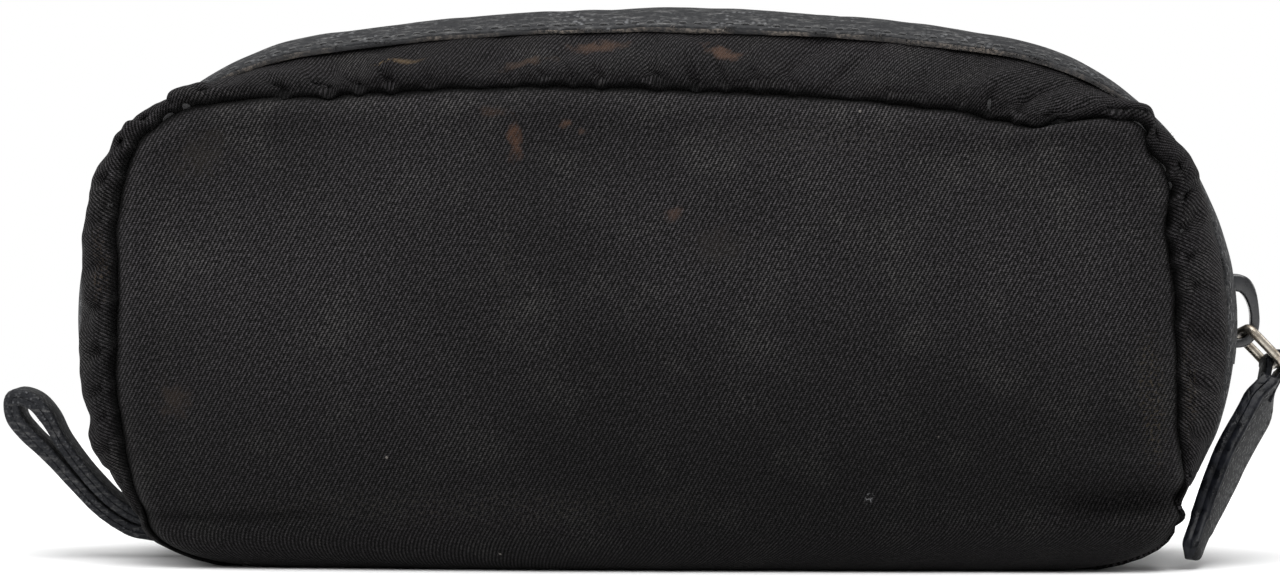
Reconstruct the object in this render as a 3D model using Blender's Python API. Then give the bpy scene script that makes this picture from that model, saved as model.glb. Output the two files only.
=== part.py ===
"""Soft zip-top makeup bag: a loaf-shaped nylon case that opens as two half shells on a soft base.

Metres, +Z up, +X along the bag towards the zip pull, -Y is the front. The origin is the centre of
the base's underside. Two shells, mirror images in Y, each hold a panel, a half gusset, a leather
trim, a zip tape and a row of teeth, and swing outwards about the long edges of the base.
"""

import math

import bmesh
import bpy
from mathutils import Matrix, Vector

# Driving dimensions of the body
LENGTH = 0.216  # over the zip line, end to end
HEIGHT = 0.1025  # floor to the crest of the zip line
SEAM_DEPTH = 0.024  # from the mid-plane to the seam round each panel
CROWN = 0.009  # how far a full panel stands out beyond its seam
BASE_RIM = 0.008  # height of the rim where the base meets the shells
GAP = 0.0003  # clearance between pieces that are sewn or pressed together

# Zip line: an end arc, a flat top arc and an end arc, tangent to each other
END_RADIUS = 0.0534
END_HEIGHT = 0.0445
END_X = LENGTH / 2 - END_RADIUS
ARC_RISE = HEIGHT - END_HEIGHT - END_RADIUS
TOP_RADIUS = END_RADIUS + (END_X**2 + ARC_RISE**2) / (2 * ARC_RISE)
TOP_CENTRE_Z = HEIGHT - TOP_RADIUS
JOIN_ANGLE = math.asin(END_X / (TOP_RADIUS - END_RADIUS))
SHELL_FOOT = BASE_RIM + GAP
FOOT_ANGLE = math.asin((END_HEIGHT - SHELL_FOOT) / END_RADIUS)
END_LENGTH = END_RADIUS * (math.pi / 2 - JOIN_ANGLE + FOOT_ANGLE)
TOP_LENGTH = 2 * TOP_RADIUS * JOIN_ANGLE
ZIP_LENGTH = 2 * END_LENGTH + TOP_LENGTH

# Panel seam: a superellipse
SEAM_HALF = 0.0985
SEAM_TOP = 0.0883
SEAM_MID = 0.042
SEAM_RISE = SEAM_TOP - SEAM_MID
SEAM_POWER = 5.8
DRAPE_POWER = 1.6  # how the shell falls away from the zip line to the seam

# Cloth and leather layers: how far each lies above (+) or below (-) the shell surface
CLOTH = 0.001
LINING = 0.0006
TRIM_LAYER = (0.0002, 0.0014)
GUSSET_LAYER = (-0.0011, -0.0001)
TAPE_LAYER = (-0.0016, -0.0010)
TEETH_LAYER = (-0.0025, -0.0008)
GUSSET_LINING_LAYER = (-0.0021, -0.0015)
PANEL_LINING_LAYER = (-0.0021, -0.0015)

# Where each strip lies, as distances from the mid-plane
TEETH_EDGE, TEETH_ROOT, TEETH_BACK = 0.0006, 0.0018, 0.0026
TAPE_BAND = (0.0029, 0.0129)
TRIM_BAND = (0.0052, 0.0143)
GUSSET_BAND = (0.0133, 0.0227)
GUSSET_LINING_BAND = (0.0135, 0.0210)
TRIM_START = 0.0020  # trims stop this far above the base rim
TEETH_START = 0.0072  # and the rows of teeth this far
TOOTH_PITCH = 0.0050
LINING_SHARE = 0.965  # the panel lining is cut this much smaller than the panel

# Zip hardware, on the right-hand end arc
SLIDER_ANGLE = math.radians(8)  # half the slider's length, seen from the arc's centre
SLIDER_HALF_WIDTH = 0.0046
PLATE_OUTER = (-0.0005, 0.0002)
PLATE_INNER = (-0.0040, -0.0033)
POST_HALF_WIDTH = 0.0003
BRIDGE_WIDTH, BRIDGE_THICKNESS = 0.0040, 0.0013
RING_WIRE = 0.00085
RING_HALF_WIDTH = 0.00435
RING_LENGTH = 0.0085  # between the centres of its two bars
RING_TILT = math.radians(44)  # from straight down, outwards
RING_TWIST = math.radians(-14)
RING_PIVOT_HEIGHT = 0.00165
TAB_LENGTH = 0.0380
TAB_HALF_WIDTH = 0.0060
TAB_TIP_HALF_WIDTH = 0.0032
TAB_THICKNESS = 0.0036
TONGUE_HALF_WIDTH = 0.0029
TAB_LEAN = math.radians(22)  # from straight down, towards the bag
TAB_TWIST = math.radians(28)
LOOP_WIDTH, LOOP_THICKNESS = 0.0098, 0.0026

COLUMNS = 54  # quads along a shell strip
TRIM_COLOUR = (0.035, 0.037, 0.042)
NYLON_COLOUR = (0.018, 0.018, 0.018)
LINING_COLOUR = (0.030, 0.030, 0.032)
TAPE_COLOUR = (0.012, 0.012, 0.013)
BLACK_METAL = (0.020, 0.021, 0.024)
NICKEL = (0.42, 0.38, 0.33)


def clear_scene():
    for obj in list(bpy.data.objects):
        bpy.data.objects.remove(obj)


def material(name, colour, roughness, metallic=0.0):
    made = bpy.data.materials.new(name)
    made.use_nodes = True
    shader = made.node_tree.nodes["Principled BSDF"]
    shader.inputs["Base Color"].default_value = (*colour, 1.0)
    shader.inputs["Roughness"].default_value = roughness
    shader.inputs["Metallic"].default_value = metallic
    return made


def add_object(name, vertices, faces, finish, origin=(0, 0, 0)):
    """A named object of one closed mesh, its faces turned outwards and its origin at a point."""
    mesh = bpy.data.meshes.new(name)
    at = Vector(origin)
    mesh.from_pydata([Vector(v) - at for v in vertices], [], faces)
    work = bmesh.new()
    work.from_mesh(mesh)
    bmesh.ops.recalc_face_normals(work, faces=work.faces)
    if work.calc_volume(signed=True) < 0:
        bmesh.ops.reverse_faces(work, faces=work.faces)
    work.to_mesh(mesh)
    work.free()
    mesh.shade_smooth()
    mesh.set_sharp_from_angle(angle=math.radians(40))
    obj = bpy.data.objects.new(name, mesh)
    obj.location = at
    mesh.materials.append(finish)
    bpy.context.scene.collection.objects.link(obj)
    return obj


# Geometry of the shell surface


def polar(centre_x, centre_z, radius, angle):
    return Vector((centre_x + radius * math.cos(angle), 0, centre_z + radius * math.sin(angle)))


def zip_frame(along):
    """The point of the zip line at a length from its left-hand foot, and its outward normal."""
    if along < END_LENGTH:
        angle = math.pi + FOOT_ANGLE - along / END_RADIUS
        point = polar(-END_X, END_HEIGHT, END_RADIUS, angle)
    elif along < END_LENGTH + TOP_LENGTH:
        angle = math.pi / 2 + JOIN_ANGLE - (along - END_LENGTH) / TOP_RADIUS
        point = polar(0, TOP_CENTRE_Z, TOP_RADIUS, angle)
    else:
        angle = math.pi / 2 - JOIN_ANGLE - (along - END_LENGTH - TOP_LENGTH) / END_RADIUS
        point = polar(END_X, END_HEIGHT, END_RADIUS, angle)
    return point, Vector((math.cos(angle), 0, math.sin(angle)))


def seam_samples(count=720):
    """Points along the panel seam from its left-hand foot over the top, with their arc lengths."""
    foot = math.asin(((SEAM_MID - SHELL_FOOT) / SEAM_RISE) ** (SEAM_POWER / 2))
    points = []
    for i in range(count + 1):
        angle = math.pi + foot - (math.pi + 2 * foot) * i / count
        c, s = math.cos(angle), math.sin(angle)
        x = math.copysign(abs(c) ** (2 / SEAM_POWER), c) * SEAM_HALF
        z = math.copysign(abs(s) ** (2 / SEAM_POWER), s) * SEAM_RISE + SEAM_MID
        points.append(Vector((x, 0, z)))
    lengths = [0.0]
    for a, b in zip(points, points[1:]):
        lengths.append(lengths[-1] + (b - a).length)
    return points, lengths


SEAM_POINTS, SEAM_LENGTHS = seam_samples()


def seam_point(share):
    """The seam's point at a share of its length."""
    target = min(max(share, 0.0), 1.0) * SEAM_LENGTHS[-1]
    high = next(i for i, length in enumerate(SEAM_LENGTHS) if length >= target - 1e-12)
    if high == 0:
        return SEAM_POINTS[0].copy()
    step = SEAM_LENGTHS[high] - SEAM_LENGTHS[high - 1]
    return SEAM_POINTS[high - 1].lerp(SEAM_POINTS[high], (target - SEAM_LENGTHS[high - 1]) / step)


def shell_point(share, depth):
    """The shell surface at a share of its length and a distance in front of the mid-plane."""
    top, _ = zip_frame(share * ZIP_LENGTH)
    fall = (depth / SEAM_DEPTH) ** DRAPE_POWER
    point = top.lerp(seam_point(share), fall)
    point.y = -depth
    return point


def shell_offset(share, depth, height):
    """The same point moved outwards by a height along the surface normal."""
    step = 0.002
    low, high = max(share - step, 0.0), min(share + step, 1.0)
    along = shell_point(high, depth) - shell_point(low, depth)
    across = shell_point(share, depth + 1e-4) - shell_point(share, max(depth - 1e-4, 0.0))
    normal = across.cross(along).normalized()
    _, outward = zip_frame(share * ZIP_LENGTH)
    if normal.dot(outward) < 0:
        normal.negate()
    return shell_point(share, depth) + normal * height


def slab(top, bottom):
    """Vertices and faces of the closed solid between two equal grids of points."""
    columns, rows = len(top), len(top[0])
    vertices = [p for grid in (top, bottom) for column in grid for p in column]

    def index(layer, i, j):
        return (layer * columns + i) * rows + j

    faces = []
    for layer in (0, 1):
        for i in range(columns - 1):
            for j in range(rows - 1):
                quad = [(i, j), (i + 1, j), (i + 1, j + 1), (i, j + 1)]
                faces.append([index(layer, *c) for c in (quad if layer else quad[::-1])])
    rim = [(i, 0) for i in range(columns)]
    rim += [(columns - 1, j) for j in range(1, rows)]
    rim += [(i, rows - 1) for i in range(columns - 2, -1, -1)]
    rim += [(0, j) for j in range(rows - 2, 0, -1)]
    for a, b in zip(rim, rim[1:] + rim[:1]):
        faces.append([index(0, *a), index(0, *b), index(1, *b), index(1, *a)])
    return vertices, faces


def mirrored(vertices, side):
    """The vertices as they are for the front shell (-1), or mirrored in Y for the back one (1)."""
    return [Vector((v.x, v.y * -side, v.z)) for v in vertices]


def shell_strip(name, side, band, layer, finish, rows=1, start=0.0, columns=COLUMNS):
    """A strip of cloth or leather that follows the shell between two distances from the mid-plane."""
    low, high = start / ZIP_LENGTH, 1 - start / ZIP_LENGTH

    def grid(height):
        return [
            [
                shell_offset(
                    low + (high - low) * i / columns,
                    band[0] + (band[1] - band[0]) * j / rows,
                    height,
                )
                for j in range(rows + 1)
            ]
            for i in range(columns + 1)
        ]

    vertices, faces = slab(grid(layer[1]), grid(layer[0]))
    return add_object(name, mirrored(vertices, side), faces, finish, hinge_point(side))


def hinge_point(side):
    """Where a shell turns: the outer long edge of the base, on its own side."""
    return Vector((0, side * (SEAM_DEPTH + 0.0056), SHELL_FOOT))


# Panels and their linings


def crown_depth(x, z):
    """How far a full panel lies in front of the mid-plane at a point of its outline."""
    half = SEAM_HALF * max(1 - abs((z - SEAM_MID) / SEAM_RISE) ** SEAM_POWER, 1e-9) ** (1 / SEAM_POWER)
    across = 1 - min(abs(x) / half, 1.0) ** 4
    down = (SEAM_TOP - z) / (SEAM_TOP - BASE_RIM)
    return SEAM_DEPTH + CROWN * across * math.sin(0.8 * math.pi * min(max(down, 0.0), 1.0))


def crown_normal(x, z):
    """The outward normal of a full panel, from small steps that stay inside its outline."""
    step = 2e-4
    slope_x = (crown_depth(x + step, z) - crown_depth(x - step, z)) / (2 * step)
    slope_z = (crown_depth(x, z + step) - crown_depth(x, z - step)) / (2 * step)
    steepest = 0.6
    slope_x = min(max(slope_x, -steepest), steepest)
    slope_z = min(max(slope_z, -steepest), steepest)
    return Vector((-slope_x, -1, -slope_z)).normalized()


def panel_outline(u, v):
    """Maps a square to the panel's outline; v runs from the foot (-1) to the top seam (1)."""
    if v < 0:
        z = SEAM_MID + v * (SEAM_MID - SHELL_FOOT)
        level = (SEAM_MID - z) / SEAM_RISE
        return u * SEAM_HALF * (1 - level**SEAM_POWER) ** (1 / SEAM_POWER), z
    reach = max(abs(u), abs(v))
    if reach < 1e-9:
        return 0.0, SEAM_MID
    shrink = reach / (abs(u) ** SEAM_POWER + abs(v) ** SEAM_POWER) ** (1 / SEAM_POWER)
    return SEAM_HALF * u * shrink, SEAM_MID + SEAM_RISE * v * shrink


def panel(name, side, layer, share, finish):
    """A crowned panel, or its lining, as a thin solid under the panel's outer surface."""
    across = [math.sin(math.pi / 2 * k / 8) for k in range(-8, 9)]
    upwards = [-1, -0.66, -0.33] + [math.sin(math.pi / 2 * k / 6) for k in range(7)]

    def surface(u, v):
        x, z = panel_outline(u, v)
        return Vector((x, -crown_depth(x, z), z))

    def grid(height):
        points = []
        for u in across:
            column = []
            for v in upwards:
                at = surface(u * share, v if v < 0 else v * share)
                normal = crown_normal(at.x * 0.995, at.z)
                moved = at + normal * height
                moved.z = max(moved.z, SHELL_FOOT)
                column.append(moved)
            points.append(column)
        return points

    vertices, faces = slab(grid(layer[1]), grid(layer[0]))
    return add_object(name, mirrored(vertices, side), faces, finish, hinge_point(side))


def seam_binding(name, side, finish):
    """The bound seam allowance that stands inwards from the corner of panel and gusset."""
    start, end, half = 0.0036, 0.0086, 0.0005
    foot = 0.01

    def grid(offset):
        points = []
        for i in range(COLUMNS + 1):
            share = foot + (1 - 2 * foot) * i / COLUMNS
            along = (seam_point(share + 0.004) - seam_point(share - 0.004)).normalized()
            outward = Vector((-along.z, 0, along.x))
            inward = (Vector((0, 1, 0)) - outward).normalized()
            flat = (Vector((0, 1, 0)) + outward).normalized()
            at = seam_point(share) + Vector((0, -SEAM_DEPTH, 0))
            points.append([at + inward * reach + flat * offset for reach in (start, end)])
        return points

    vertices, faces = slab(grid(half), grid(-half))
    return add_object(name, mirrored(vertices, side), faces, finish, hinge_point(side))


def teeth_row(name, side, finish):
    """One row of zip teeth on its bead, as a comb that follows the zip line."""
    count = int((ZIP_LENGTH - 2 * TEETH_START) / TOOTH_PITCH)
    first = (ZIP_LENGTH - count * TOOTH_PITCH) / 2 + (TOOTH_PITCH / 2 if side > 0 else 0)
    tooth = TOOTH_PITCH * 0.5
    lines = []
    for i in range(count - (1 if side > 0 else 0)):
        lines += [first + i * TOOTH_PITCH, first + i * TOOTH_PITCH + tooth]
    depths = (TEETH_EDGE, TEETH_ROOT, TEETH_BACK)

    def filled(i, j, k):
        return j == 1 or i % 2 == 0

    def place(i, j, k):
        return shell_offset(lines[i] / ZIP_LENGTH, depths[j], TEETH_LAYER[k])

    vertices, faces = cells(len(lines), 3, 2, filled, place)
    return add_object(name, mirrored(vertices, side), faces, finish, hinge_point(side))


def cells(columns, rows, layers, filled, place):
    """The outer faces of a grid of cells, of which some are filled. Lines are numbered from 0."""
    vertices, index, faces = [], {}, []

    def corner(*at):
        if at not in index:
            index[at] = len(vertices)
            vertices.append(place(*at))
        return index[at]

    def solid(i, j, k):
        inside = 0 <= i < columns - 1 and 0 <= j < rows - 1 and 0 <= k < layers - 1
        return inside and filled(i, j, k)

    for i in range(columns - 1):
        for j in range(rows - 1):
            for k in range(layers - 1):
                if not solid(i, j, k):
                    continue
                for axis in range(3):
                    for step in (0, 1):
                        beside = [i, j, k]
                        beside[axis] += 1 if step else -1
                        if solid(*beside):
                            continue
                        others = [a for a in range(3) if a != axis]
                        quad = []
                        for d0, d1 in ((0, 0), (1, 0), (1, 1), (0, 1)):
                            at = [i, j, k]
                            at[axis] += step
                            at[others[0]] += d0
                            at[others[1]] += d1
                            quad.append(corner(*at))
                        faces.append(quad)
    return vertices, faces


# Base


def base_outline():
    """The rim of the base, once round: the feet of both panels and of the gussets between them."""
    foot = seam_point(0.0).x
    quarter = []
    for k in range(6):
        x = foot * (1 - (k / 6) ** 1.6) if k else foot
        quarter.append(Vector((x, -crown_depth(x, SHELL_FOOT), 0)))
    front = quarter + [Vector((0, -crown_depth(0, SHELL_FOOT), 0))]
    front += [Vector((-p.x, p.y, 0)) for p in reversed(quarter)]
    end = [shell_point(1.0, SEAM_DEPTH * d) for d in (0.75, 0.4, 0.0)]
    right = [Vector((p.x, p.y, 0)) for p in end] + [Vector((p.x, -p.y, 0)) for p in end[1::-1]]
    back = [Vector((-p.x, -p.y, 0)) for p in front]
    left = [Vector((-p.x, -p.y, 0)) for p in right]
    return front + right + back + left


def base_solid(name, layer, top_angle, finish):
    """The base tray, or its lining: a flat middle, turned up all round through top_angle."""
    outline = base_outline()
    count, steps = len(outline), 6
    turn_share = 0.235  # how much of the base, from its rim inwards, is turned up
    vertices = []
    for height in layer:
        for k in range(steps + 1):
            angle = top_angle * k / steps
            scale = 1 - turn_share * (1 - math.sin(angle))
            for i, at in enumerate(outline):
                along = (outline[(i + 1) % count] - outline[i - 1]).normalized()
                inward = Vector((-along.y, along.x, 0))
                point = at * scale + inward * (height * math.sin(angle))
                point.z = BASE_RIM * (1 - math.cos(angle)) + height * math.cos(angle)
                vertices.append(point)
    ring = (steps + 1) * count
    faces = [list(range(count)), list(range(ring, ring + count))]
    for k in range(steps):
        for i in range(count):
            a, b = k * count + i, k * count + (i + 1) % count
            faces.append([a, b, b + count, a + count])
            faces.append([v + ring for v in (a, b, b + count, a + count)])
    for i in range(count):
        a, b = steps * count + i, steps * count + (i + 1) % count
        faces.append([a, b, b + ring, a + ring])
    return add_object(name, vertices, faces, finish)


# Swept pieces: straps, bridge and ring


def smooth_path(points, per_span):
    """A Catmull-Rom curve through the points, sampled evenly in each span."""
    ends = [2 * points[0] - points[1], *points, 2 * points[-1] - points[-2]]
    path = []
    for a, b, c, d in zip(ends, ends[1:], ends[2:], ends[3:]):
        for i in range(per_span):
            t = i / per_span
            square, cube = 2 * a - 5 * b + 4 * c - d, 3 * b - a - 3 * c + d
            path.append(0.5 * (2 * b + (c - a) * t + square * t**2 + cube * t**3))
    path.append(points[-1].copy())
    return path


def strap(path, half_widths, thickness, twists=None):
    """Vertices and faces of a flat strap along a path in the XZ plane; twists turn its sections."""
    vertices, faces = [], []
    for i, at in enumerate(path):
        tangent = (path[min(i + 1, len(path) - 1)] - path[max(i - 1, 0)]).normalized()
        flat = tangent.cross(Vector((0, 1, 0))).normalized()
        across = flat.cross(tangent).normalized()
        if twists:
            turn = Matrix.Rotation(twists[i], 3, tangent)
            flat, across = turn @ flat, turn @ across
        for w, t in ((-1, -1), (1, -1), (1, 1), (-1, 1)):
            vertices.append(at + across * (w * half_widths[i]) + flat * (t * thickness / 2))
    for i in range(len(path) - 1):
        for k in range(4):
            a, b = 4 * i + k, 4 * i + (k + 1) % 4
            faces.append([a, b, b + 4, a + 4])
    last = 4 * (len(path) - 1)
    faces += [[3, 2, 1, 0], [last, last + 1, last + 2, last + 3]]
    return vertices, faces


def ring_mesh(path, radius, sides):
    """Vertices and faces of a closed ring of round wire along a flat closed path."""
    count = len(path)
    normal = (path[1] - path[0]).cross(path[count // 2] - path[0]).normalized()
    vertices, faces = [], []
    for i, at in enumerate(path):
        tangent = (path[(i + 1) % count] - path[i - 1]).normalized()
        side = tangent.cross(normal)
        for k in range(sides):
            angle = 2 * math.pi * k / sides
            vertices.append(at + side * (radius * math.cos(angle)) + normal * (radius * math.sin(angle)))
    for i in range(count):
        for k in range(sides):
            a, b = i * sides + k, i * sides + (k + 1) % sides
            c, d = ((i + 1) % count) * sides + (k + 1) % sides, ((i + 1) % count) * sides + k
            faces.append([a, b, c, d])
    return vertices, faces


def end_arc_point(angle, height, y=0.0):
    """A point over the right-hand end arc, at an angle up from level and a height over the shell."""
    point = polar(END_X, END_HEIGHT, END_RADIUS + height, angle)
    point.y = y
    return point


def zip_slider(finish):
    """Two curved plates either side of the chain, joined by the blade that parts the teeth."""
    angles = [SLIDER_ANGLE * k for k in (-1, -0.7, -0.35, 0, 0.35, 0.7, 1)]
    widths = (-SLIDER_HALF_WIDTH, -POST_HALF_WIDTH, POST_HALF_WIDTH, SLIDER_HALF_WIDTH)
    heights = (*PLATE_INNER, *PLATE_OUTER)

    def filled(i, j, k):
        return k != 1 or (j == 1 and i == 0)

    def place(i, j, k):
        return end_arc_point(angles[i], heights[k], widths[j])

    vertices, faces = cells(len(angles), 4, 4, filled, place)
    return add_object("zip_slider", vertices, faces, finish, (END_X, 0, END_HEIGHT))


def slider_bridge(finish):
    """The arch over the slider that the pull ring hangs from."""
    knots = [
        (7.6, 0.0012),
        (7.0, 0.0028),
        (4.6, 0.0037),
        (0.0, 0.0038),
        (-4.2, 0.0035),
        (-7.4, 0.0025),
        (-8.2, 0.0012),
    ]
    points = [end_arc_point(math.radians(a), h) for a, h in knots]
    path = smooth_path(points, 2)
    vertices, faces = strap(path, [BRIDGE_WIDTH / 2] * len(path), BRIDGE_THICKNESS)
    return add_object("slider_bridge", vertices, faces, finish, (END_X, 0, END_HEIGHT))


def ring_axes():
    """The ring's pivot, its long direction, and the direction of its bars."""
    pivot = end_arc_point(math.radians(-1.5), RING_PIVOT_HEIGHT)
    along = Vector((math.sin(RING_TILT), 0, -math.cos(RING_TILT)))
    bar = Matrix.Rotation(RING_TWIST, 3, along) @ Vector((0, 1, 0))
    return pivot, along, bar


def pull_ring(finish):
    """The oblong wire ring between bridge and leather pull."""
    pivot, along, bar = ring_axes()
    corner, steps = 0.0013, 3
    path = []
    for cx, cy, first in ((1, 1, 0), (-1, 1, 90), (-1, -1, 180), (1, -1, 270)):
        for k in range(steps + 1):
            angle = math.radians(first + 90 * k / steps)
            b = cx * (RING_HALF_WIDTH - corner) + corner * math.cos(angle)
            a = cy * (RING_LENGTH / 2 - corner) + corner * math.sin(angle)
            path.append(pivot + bar * b + along * (RING_LENGTH / 2 + a))
    vertices, faces = ring_mesh(path, RING_WIRE, 8)
    return add_object("pull_ring", vertices, faces, finish, pivot)


def pull_tab(finish):
    """The leather pull: a narrow tongue folded round the ring and a broad round-ended tab."""
    pivot, ring_along, bar = ring_axes()
    eye = pivot + ring_along * RING_LENGTH
    down = Vector((-math.sin(TAB_LEAN), 0, -math.cos(TAB_LEAN)))
    down = (down - bar * down.dot(bar)).normalized()
    flat = down.cross(bar).normalized()
    inner, outer, sides = RING_WIRE + GAP, RING_WIRE + GAP + 0.0013, 16

    # The folded tongue: a keyhole section, swept across its own width.
    angles = [2 * math.pi * k / sides for k in range(sides)]
    hole = [(inner * math.cos(a), inner * math.sin(a)) for a in angles]
    rim = []
    for k, a in enumerate(angles):
        lies_low = math.cos(a) > 0.6
        if lies_low:
            rim.append((0.0062, math.copysign(0.0014, math.sin(a))))
        else:
            rim.append((outer * math.cos(a), outer * math.sin(a)))
    rim[0] = (0.0062, 0.0)
    vertices, faces = [], []
    for w in (-TONGUE_HALF_WIDTH, TONGUE_HALF_WIDTH):
        vertices += [eye + down * a + flat * b + bar * w for a, b in rim]
        vertices += [eye + down * a + flat * b + bar * w for a, b in hole]
    low_rim, low_hole, high_rim, high_hole = (k * sides for k in range(4))
    for k in range(sides):
        n = (k + 1) % sides
        faces.append([low_rim + k, low_rim + n, low_hole + n, low_hole + k])
        faces.append([high_rim + n, high_rim + k, high_hole + k, high_hole + n])
        faces.append([low_rim + n, low_rim + k, high_rim + k, high_rim + n])
        faces.append([low_hole + k, low_hole + n, high_hole + n, high_hole + k])
    tongue = add_object("tongue_cutter", vertices, faces, finish)
    bmesh_weld(tongue)
    tongue.hide_render = True
    tongue.display_type = "WIRE"

    # The broad tab: it twists as it hangs, leans forwards a little, narrows, and ends in a half round.
    reaches = [0.0036, 0.0041, 0.009, 0.015, 0.021, 0.027, 0.031, TAB_LENGTH - TAB_TIP_HALF_WIDTH]
    widths = [0.0047, 0.0053, TAB_HALF_WIDTH, TAB_HALF_WIDTH, 0.0054, 0.0045, 0.0038, TAB_TIP_HALF_WIDTH]
    for k in (30, 55, 75):
        reaches.append(TAB_LENGTH - TAB_TIP_HALF_WIDTH * (1 - math.sin(math.radians(k))))
        widths.append(TAB_TIP_HALF_WIDTH * math.cos(math.radians(k)))
    path, twists = [], []
    for reach in reaches:
        share = min(max((reach - 0.004) / 0.02, 0), 1)
        lean = -0.010 * (reach / TAB_LENGTH) ** 2
        path.append(eye + down * reach + Vector((0, lean, 0)))
        twists.append(RING_TWIST + TAB_TWIST * share**2 * (3 - 2 * share))
    vertices, faces = strap(path, widths, TAB_THICKNESS, twists)
    tab = add_object("pull_tab", vertices, faces, finish, eye)
    join = tab.modifiers.new("Join tongue", "BOOLEAN")
    join.operation = "UNION"
    join.object = tongue
    return tab


def bmesh_weld(obj):
    """Merges points of an object's mesh that lie together and turns its faces outwards."""
    work = bmesh.new()
    work.from_mesh(obj.data)
    bmesh.ops.remove_doubles(work, verts=work.verts, dist=1e-6)
    bmesh.ops.dissolve_degenerate(work, edges=work.edges, dist=1e-6)
    bmesh.ops.recalc_face_normals(work, faces=work.faces)
    if work.calc_volume(signed=True) < 0:
        bmesh.ops.reverse_faces(work, faces=work.faces)
    work.to_mesh(obj.data)
    work.free()


def end_loop(finish):
    """The leather loop at the left-hand foot of the zip: a strap folded back on itself."""
    # Its middle line, and how far each leg lies from it: side by side, then apart round the eye.
    middle = [
        (-0.0952, 0.0061, 0.00145),
        (-0.0985, 0.0069, 0.00145),
        (-0.1035, 0.0102, 0.00145),
        (-0.1085, 0.0154, 0.00150),
        (-0.1130, 0.0208, 0.00205),
        (-0.1163, 0.0250, 0.00285),
        (-0.1189, 0.0281, 0.00235),
    ]
    tip = Vector((-0.1207, 0, 0.0303))
    spine = [Vector((x, 0, z)) for x, z, _ in middle] + [tip]
    near, far = [], []
    for i, (_, _, spread) in enumerate(middle):
        tangent = (spine[i + 1] - spine[max(i - 1, 0)]).normalized()
        aside = Vector((tangent.z, 0, -tangent.x))
        near.append(spine[i] - aside * spread)
        far.append(spine[i] + aside * spread)
    path = smooth_path([*near, tip, *reversed(far)], 2)
    vertices, faces = strap(path, [LOOP_WIDTH / 2] * len(path), LOOP_THICKNESS)
    return add_object("end_loop", vertices, faces, finish, (-0.0945, 0, 0.0062))


def zip_stop(name, mirror, finish):
    """The small metal clip across the foot of the chain."""
    lines = (0.0036, 0.0050, 0.0064)
    widths = (-0.0022, 0.0022)
    heights = (-0.0024, -0.0008)

    def place(i, j, k):
        point = shell_offset(lines[i] / ZIP_LENGTH, abs(widths[j]), heights[k])
        return Vector((point.x * mirror, widths[j], point.z))

    vertices, faces = cells(3, 2, 2, lambda i, j, k: True, place)
    return add_object(name, vertices, faces, finish)


def build():
    clear_scene()
    nylon = material("nylon", NYLON_COLOUR, 0.75)
    leather = material("leather", TRIM_COLOUR, 0.5)
    lining = material("lining", LINING_COLOUR, 0.7)
    tape = material("zip_tape", TAPE_COLOUR, 0.8)
    black_metal = material("black_metal", BLACK_METAL, 0.3, 0.8)
    nickel = material("nickel", NICKEL, 0.35, 1.0)

    base_solid("base_panel", (0.0, 0.0012), math.pi / 2, nylon)
    base_solid("base_lining", (0.0016, 0.0022), math.radians(75), lining)
    zip_stop("left_zip_stop", 1, black_metal)
    zip_stop("right_zip_stop", -1, black_metal)
    for word, side in (("front", -1), ("back", 1)):
        panel(f"{word}_panel", side, (-CLOTH, 0.0), 1.0, nylon)
        panel(f"{word}_lining", side, PANEL_LINING_LAYER, LINING_SHARE, lining)
        shell_strip(f"{word}_gusset", side, GUSSET_BAND, GUSSET_LAYER, nylon, rows=2)
        shell_strip(f"{word}_gusset_lining", side, GUSSET_LINING_BAND, GUSSET_LINING_LAYER, lining, rows=3)
        shell_strip(f"{word}_leather_trim", side, TRIM_BAND, TRIM_LAYER, leather, rows=2, start=TRIM_START)
        shell_strip(f"{word}_zip_tape", side, TAPE_BAND, TAPE_LAYER, tape, rows=2, start=TRIM_START)
        seam_binding(f"{word}_seam_binding", side, tape)
        teeth_row(f"{word}_zip_teeth", side, black_metal)
    zip_slider(black_metal)
    slider_bridge(black_metal)
    pull_ring(nickel)
    pull_tab(leather)
    end_loop(leather)


build()
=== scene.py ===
"""Looks of the makeup bag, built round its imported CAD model. Shapes are worked out in millimetres."""

import math

import bmesh
import bpy
import numpy as np
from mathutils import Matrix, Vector, noise


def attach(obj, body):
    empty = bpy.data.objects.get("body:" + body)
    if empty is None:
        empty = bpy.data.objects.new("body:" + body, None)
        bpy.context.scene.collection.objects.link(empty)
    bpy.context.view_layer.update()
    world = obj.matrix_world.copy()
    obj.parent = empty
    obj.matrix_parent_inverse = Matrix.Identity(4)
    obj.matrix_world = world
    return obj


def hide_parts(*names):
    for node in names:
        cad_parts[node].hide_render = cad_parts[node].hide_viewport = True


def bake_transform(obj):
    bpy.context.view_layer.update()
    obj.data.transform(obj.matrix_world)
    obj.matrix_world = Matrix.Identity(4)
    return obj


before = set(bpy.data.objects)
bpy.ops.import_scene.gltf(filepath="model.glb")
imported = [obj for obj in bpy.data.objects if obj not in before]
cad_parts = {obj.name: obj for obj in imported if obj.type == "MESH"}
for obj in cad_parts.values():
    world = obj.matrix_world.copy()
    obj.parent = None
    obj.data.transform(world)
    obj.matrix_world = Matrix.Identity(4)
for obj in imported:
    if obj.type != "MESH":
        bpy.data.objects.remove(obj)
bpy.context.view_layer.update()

MM = 0.001
RIPPLE_CELLS = 4096

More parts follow.
